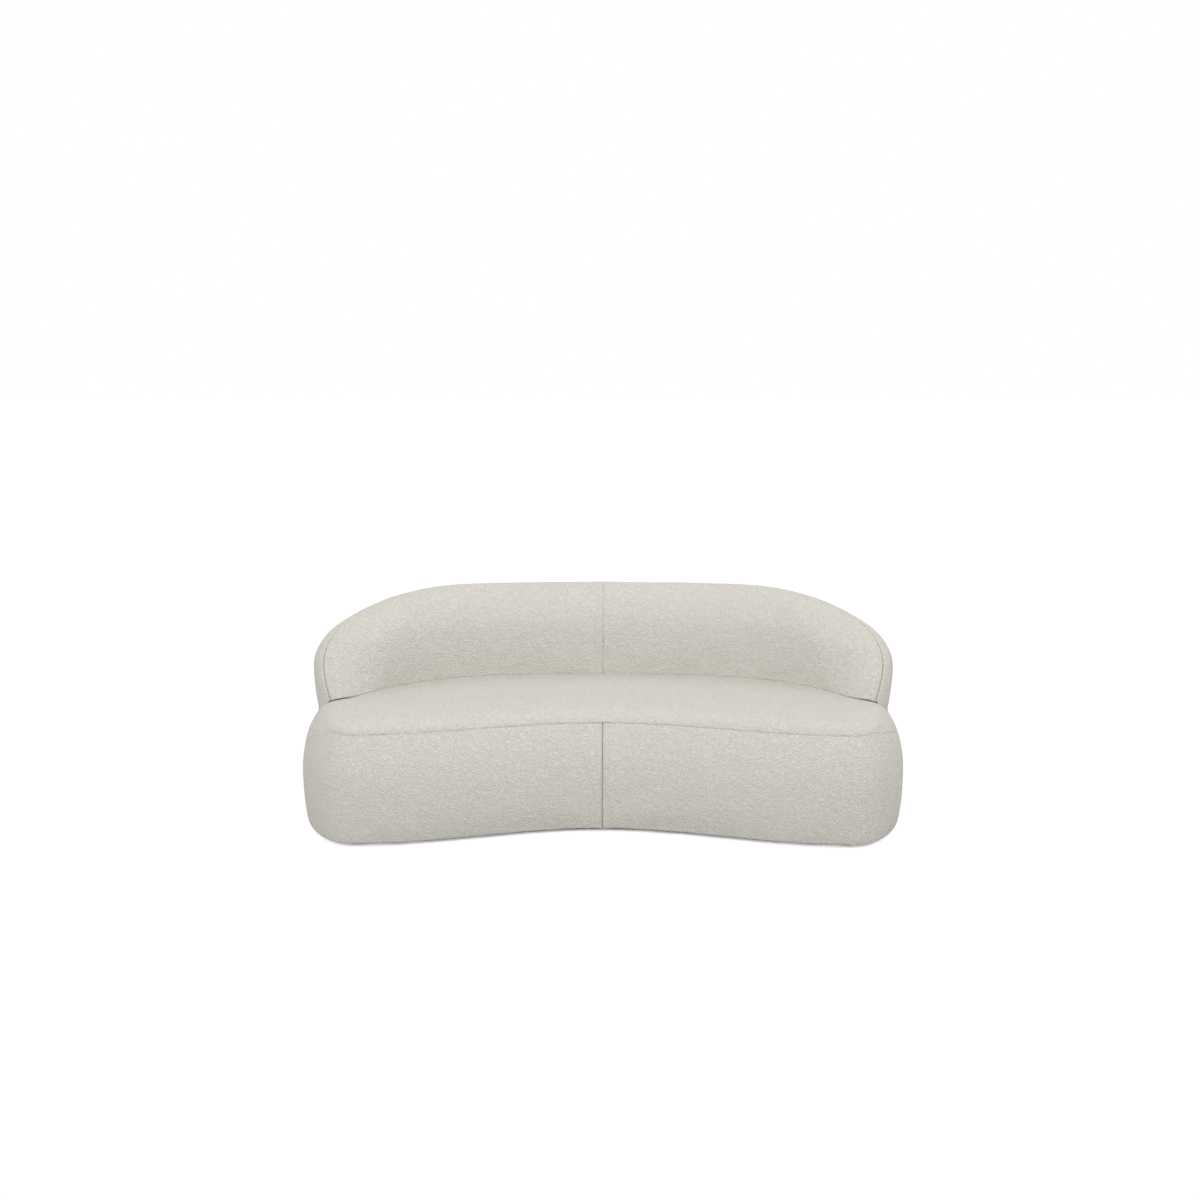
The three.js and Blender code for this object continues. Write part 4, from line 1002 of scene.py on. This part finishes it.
class SOFA_OT_back(bpy.types.Operator):
    """Makes the four panels of the back's cover"""

    bl_idname = "sofa.back"
    bl_label = "Back cover"
    bl_options = {"REGISTER", "UNDO"}

    def execute(self, context):
        sizes, s, u, finishes = settings(context)
        back = Back(s, Block(sizes))
        columns, seam_column = self.columns(back, u)
        rows, seam_row = self.rows(back, u)
        grid = back.points(columns, rows)
        core = back.core(columns, rows)
        grid[-1] = (grid[-1] + grid[-1][::-1]) / 2
        grid[:, 0, 0] = grid[:, -1, 0] = u.seam_gap
        grid = self.round_seam(grid, seam_row, seam_column, s)
        row_index, column_index = np.indices(grid.shape[:2])
        outer = (row_index < seam_row) & (column_index < seam_column)
        part_of_outer = np.s_[: seam_row + 1, : seam_column + 1]
        seams = self.seam_depth(grid, u)
        for side, places, inside in (("right", grid, core), ("left", mirrored(grid), mirrored(core))):
            for part, *sheet in (
                ("outer", places[part_of_outer], inside[part_of_outer]), ("inner", places, inside, outer),
            ):
                obj = grid_sheet("back_" + part + "_" + side, *sheet)
                finish_panel(obj, u, seams, "back_cover_" + part + "_" + side, finishes)
        return {"FINISHED"}

    def columns(self, back, u):
        """Along the outer face, round the nose and along the inner face, and the seam's column."""
        s = back.s
        _, half, shoulder = back.section(np.array(COLUMN_LEVEL))
        face = spaced(float(shoulder), u.step, True, False) / float(shoulder)
        turns = np.linspace(0, 180, NOSE_POINTS)
        runs = run_of(
            float(s.nose * half) * np.sin(np.radians(turns)), float(half) * np.cos(np.radians(turns))
        )
        seam_at = np.interp(s.seam_turn + 90, turns, runs)
        before = spaced(seam_at, u.step, False, True)
        after = seam_at + spaced(runs[-1] - seam_at, u.step, True, False)
        nose = np.interp(np.concatenate([before, after[1:]]), runs, turns) / 180
        return np.concatenate([face[:-1], 1 + nose, 3 - face[-2::-1]]), len(face) + len(before) - 2

    def rows(self, back, u):
        """The fold, the turned-under foot, the wall and the round of the top, and the seam's row."""
        s = back.s
        rows = [(0, s.fold, 0), (0, s.fold / 2, 0)]
        for turn in np.radians(np.linspace(-90, 0, 5)):
            rows.append((0, s.foot_round * (1 - math.cos(turn)), s.foot_round * (1 + math.sin(turn))))
        wall = 1 - s.top_round / s.rise
        for level in np.linspace(0, wall, round(s.rise * wall / u.step) + 1)[1:]:
            rows.append((float(level), 0, s.foot_round))
        radius = (float(back.section(np.array(wall))[1]) + s.top_round) / 2
        seam = math.radians(s.seam_level)
        low = spaced(seam * radius, u.step, False, True)[1:] / radius
        high = seam + spaced((math.pi / 2 - seam) * radius, u.step, True, False)[1:] / radius
        seam_row = len(rows) + len(low) - 1
        for turn in (*low, *high):
            up = math.sin(turn) ** (2 / s.round_power)
            rows.append((min(1.0, wall + (1 - wall) * up), 0, s.foot_round))
        return rows, seam_row

    def round_seam(self, grid, seam_row, seam_column, s):
        """Moves points along the surface near the corner of the two seams."""
        runs_up, runs_across = (grid_runs(grid, axis) for axis in (0, 1))
        across = runs_across[:, seam_column][:, None] - runs_across
        up = runs_up[seam_row][None] - runs_up
        to_ridge = (runs_up[-1] - runs_up[seam_row])[None]
        move_a, move_b = rounded_corner(
            across, up, s.seam_corner, s.seam_roundness, s.seam_corner / 2, np.maximum(to_ridge, 0.001)
        )
        moved = grid.copy()
        for r, c in np.argwhere((np.abs(move_a) > 1e-6) | (np.abs(move_b) > 1e-6)):
            c_new = np.interp(runs_across[r, c] - move_a[r, c], runs_across[r], np.arange(grid.shape[1]))
            r_new = np.interp(runs_up[r, c] - move_b[r, c], runs_up[:, c], np.arange(grid.shape[0]))
            c0, r0 = min(int(c_new), grid.shape[1] - 2), min(int(r_new), grid.shape[0] - 2)
            fc, fr = c_new - c0, r_new - r0
            low, high = (grid[k, c0] * (1 - fc) + grid[k, c0 + 1] * fc for k in (r0, r0 + 1))
            moved[r, c] = low * (1 - fr) + high * fr
        return moved

    def seam_depth(self, grid, u):
        """Tells a border point on a seam from one at the fold under the foot."""
        foot = np.concatenate([grid[0], mirrored(grid[0])])
        tree = tree_of(foot, range(len(foot)))

        def depth(p):
            if tree.find(p)[2] < u.pucker_width:
                return 0.0, 0.0, 0.0
            return (u.back_seam, 0.0, 0.0) if abs(p[0]) < u.tuck else (u.end_seam, 0.0, u.end_gap)

        return depth


class SOFA_OT_fillings(bpy.types.Operator):
    """Makes the foams under the covers, with soft edges"""

    bl_idname = "sofa.fillings"
    bl_label = "Fillings"
    bl_options = {"REGISTER", "UNDO"}

    def execute(self, context):
        _, _, u, finishes = settings(context)
        foam = finish_of("foam", finishes)
        for name, node in sorted(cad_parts.items()):
            if "foam" not in name and name != "seat_topper":
                continue
            mesh = node.data.copy()
            obj = bpy.data.objects.new(name.replace("foam", "filling").replace("topper", "soft_layer"), mesh)
            context.scene.collection.objects.link(obj)
            activate(obj)
            merge = ("remove_doubles", {"threshold": FACET_MERGE})
            edit(ALL, merge, ("normals_make_consistent", {"inside": False}))
            apply(obj, "REMESH", mode="VOXEL", voxel_size=u.voxel, adaptivity=0)
            apply(obj, "SMOOTH", factor=0.5, iterations=4)
            apply(obj, "DISPLACE", strength=-u.filling_slack, mid_level=0)
            finish_piece(obj, foam, name)
        return {"FINISHED"}


# Words in the nodes' names, and the record's slots
WORDS = (
    ("dust", "dust_fabric"), ("cover", "boucle"), ("foam", "foam"), ("topper", "foam"), ("plinth", "plinth"),
    ("glide", "glides"), ("webbing", "webbing"), ("bolt", "zinc"), ("upright", "pine"), ("rail_", "pine"),
    ("post", "pine"),
)


class SOFA_OT_frame(bpy.types.Operator):
    """Gives the frame, webbing, plinth and fasteners their materials"""

    bl_idname = "sofa.frame"
    bl_label = "Frame finishes"
    bl_options = {"REGISTER", "UNDO"}

    def execute(self, context):
        finishes = settings(context)[3]
        for name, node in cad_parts.items():
            material = finish_of(self.slot_of(name), finishes)
            for place in node.material_slots:
                place.link = "OBJECT"
                place.material = material
        return {"FINISHED"}

    def slot_of(self, name):
        for word, slot in WORDS:
            if word in name:
                return slot
        return "plywood"


# The camera's sensor in millimetres, how far it sees, and the place that the softbox faces
SENSOR, FAR = 36, 100
KEY_AIM = Vector((0, 0, 0.3))


class SOFA_OT_studio(bpy.types.Operator):
    """Sets the camera, the pale floor, the white surroundings and the softbox"""

    bl_idname = "sofa.studio"
    bl_label = "Studio"
    bl_options = {"REGISTER", "UNDO"}

    def execute(self, context):
        t = context.scene.sofa_studio
        deselect()
        bpy.ops.object.camera_add(location=t.camera_place, rotation=(t.camera_tilt, 0, t.camera_turn))
        camera = context.object
        camera.name = "camera"
        camera.data.lens = t.lens
        camera.data.sensor_width = SENSOR
        camera.data.clip_end = FAR
        context.scene.camera = camera
        deselect()
        bpy.ops.mesh.primitive_grid_add(x_subdivisions=4, y_subdivisions=4, size=t.floor_size)
        floor = context.object
        floor.name = "floor"
        floor.data.materials.append(self.floor_material(t))
        deselect()
        bpy.ops.object.light_add(type="AREA", location=(0, -t.key_front, t.key_height))
        key = context.object
        key.name = "softbox"
        key.data.shape = "SQUARE"
        key.data.size = t.key_size
        key.data.energy = t.key
        towards = KEY_AIM - key.location
        key.rotation_euler = towards.to_track_quat("-Z", "Y").to_euler()
        self.surroundings(context, t)
        context.scene.view_settings.view_transform = "Standard"
        return {"FINISHED"}

    def seen(self, web):
        """1 where the camera or a reflection looks."""
        path = web.add("LightPath")
        seen = web.math("MAXIMUM", path.outputs["Is Camera Ray"], path.outputs["Is Glossy Ray"])
        return web.math("MAXIMUM", seen, path.outputs["Is Transmission Ray"])

    def floor_material(self, t):
        material, web, _, place = base_material("floor", roughness=0.9)
        shader = material.node_tree.nodes["Principled BSDF"]
        cloud = web.add("TexNoise", {"Vector": place, "Scale": 0.8, "Detail": 2.0})
        tone = web.mix(cloud.outputs["Fac"], four(t.floor, 0.97), four(t.floor, 1.03))
        web.link(tone, shader.inputs["Base Color"])
        glow = web.add("Emission", {"Color": (1, 1, 1, 1), "Strength": t.floor_white})
        view = web.add("AmbientOcclusion", {"Distance": t.gap_reach}, samples=8)
        view = web.ramp(view.outputs["AO"], t.gap_dark, t.gap_light, 0.0, t.floor_glow)
        part = web.math("MULTIPLY", self.seen(web), view)
        both = web.add("MixShader", {0: part, 1: shader.outputs[0], 2: glow.outputs[0]})
        web.link(both.outputs[0], material.node_tree.nodes["Material Output"].inputs["Surface"])
        return material

    def surroundings(self, context, t):
        world = bpy.data.worlds.new("surroundings")
        context.scene.world = world
        world.use_nodes = True
        world.node_tree.nodes.clear()
        web = Web(world.node_tree)
        light = web.add("Background", {"Color": (1, 1, 1, 1), "Strength": t.ambient})
        white = web.add("Background", {"Color": (1, 1, 1, 1), "Strength": 1.0})
        both = web.add("MixShader", {0: self.seen(web), 1: light.outputs[0], 2: white.outputs[0]})
        web.add("OutputWorld", {"Surface": both.outputs[0]})


class SOFA_PT_sidebar(bpy.types.Panel):
    """Buttons for each step"""

    bl_label = "Sofa"
    bl_idname = "SOFA_PT_sidebar"
    bl_space_type = "VIEW_3D"
    bl_region_type = "UI"
    bl_category = "Sofa"

    def draw(self, context):
        for name in STEPS:
            self.layout.operator("sofa." + name)


STEPS = ("seat", "band", "back", "fillings", "frame", "studio")
GROUPS = {
    "sofa_block": SofaBlockSizes,
    "sofa_back": SofaBackSizes,
    "sofa_upholstery": SofaUpholstery,
    "sofa_finishes": SofaFinishes,
    "sofa_studio": SofaStudio,
}
CLASSES = (
    *GROUPS.values(), SOFA_OT_seat, SOFA_OT_band, SOFA_OT_back, SOFA_OT_fillings,
    SOFA_OT_frame, SOFA_OT_studio, SOFA_PT_sidebar,
)


def register():
    for cls in CLASSES:
        bpy.utils.register_class(cls)
    for name, group in GROUPS.items():
        setattr(bpy.types.Scene, name, PointerProperty(type=group))


def unregister():
    for name in GROUPS:
        delattr(bpy.types.Scene, name)
    for cls in reversed(CLASSES):
        bpy.utils.unregister_class(cls)


def main():
    register()
    for name in STEPS:
        getattr(bpy.ops.sofa, name)()
    deselect()


if __name__ == "__main__":
    main()
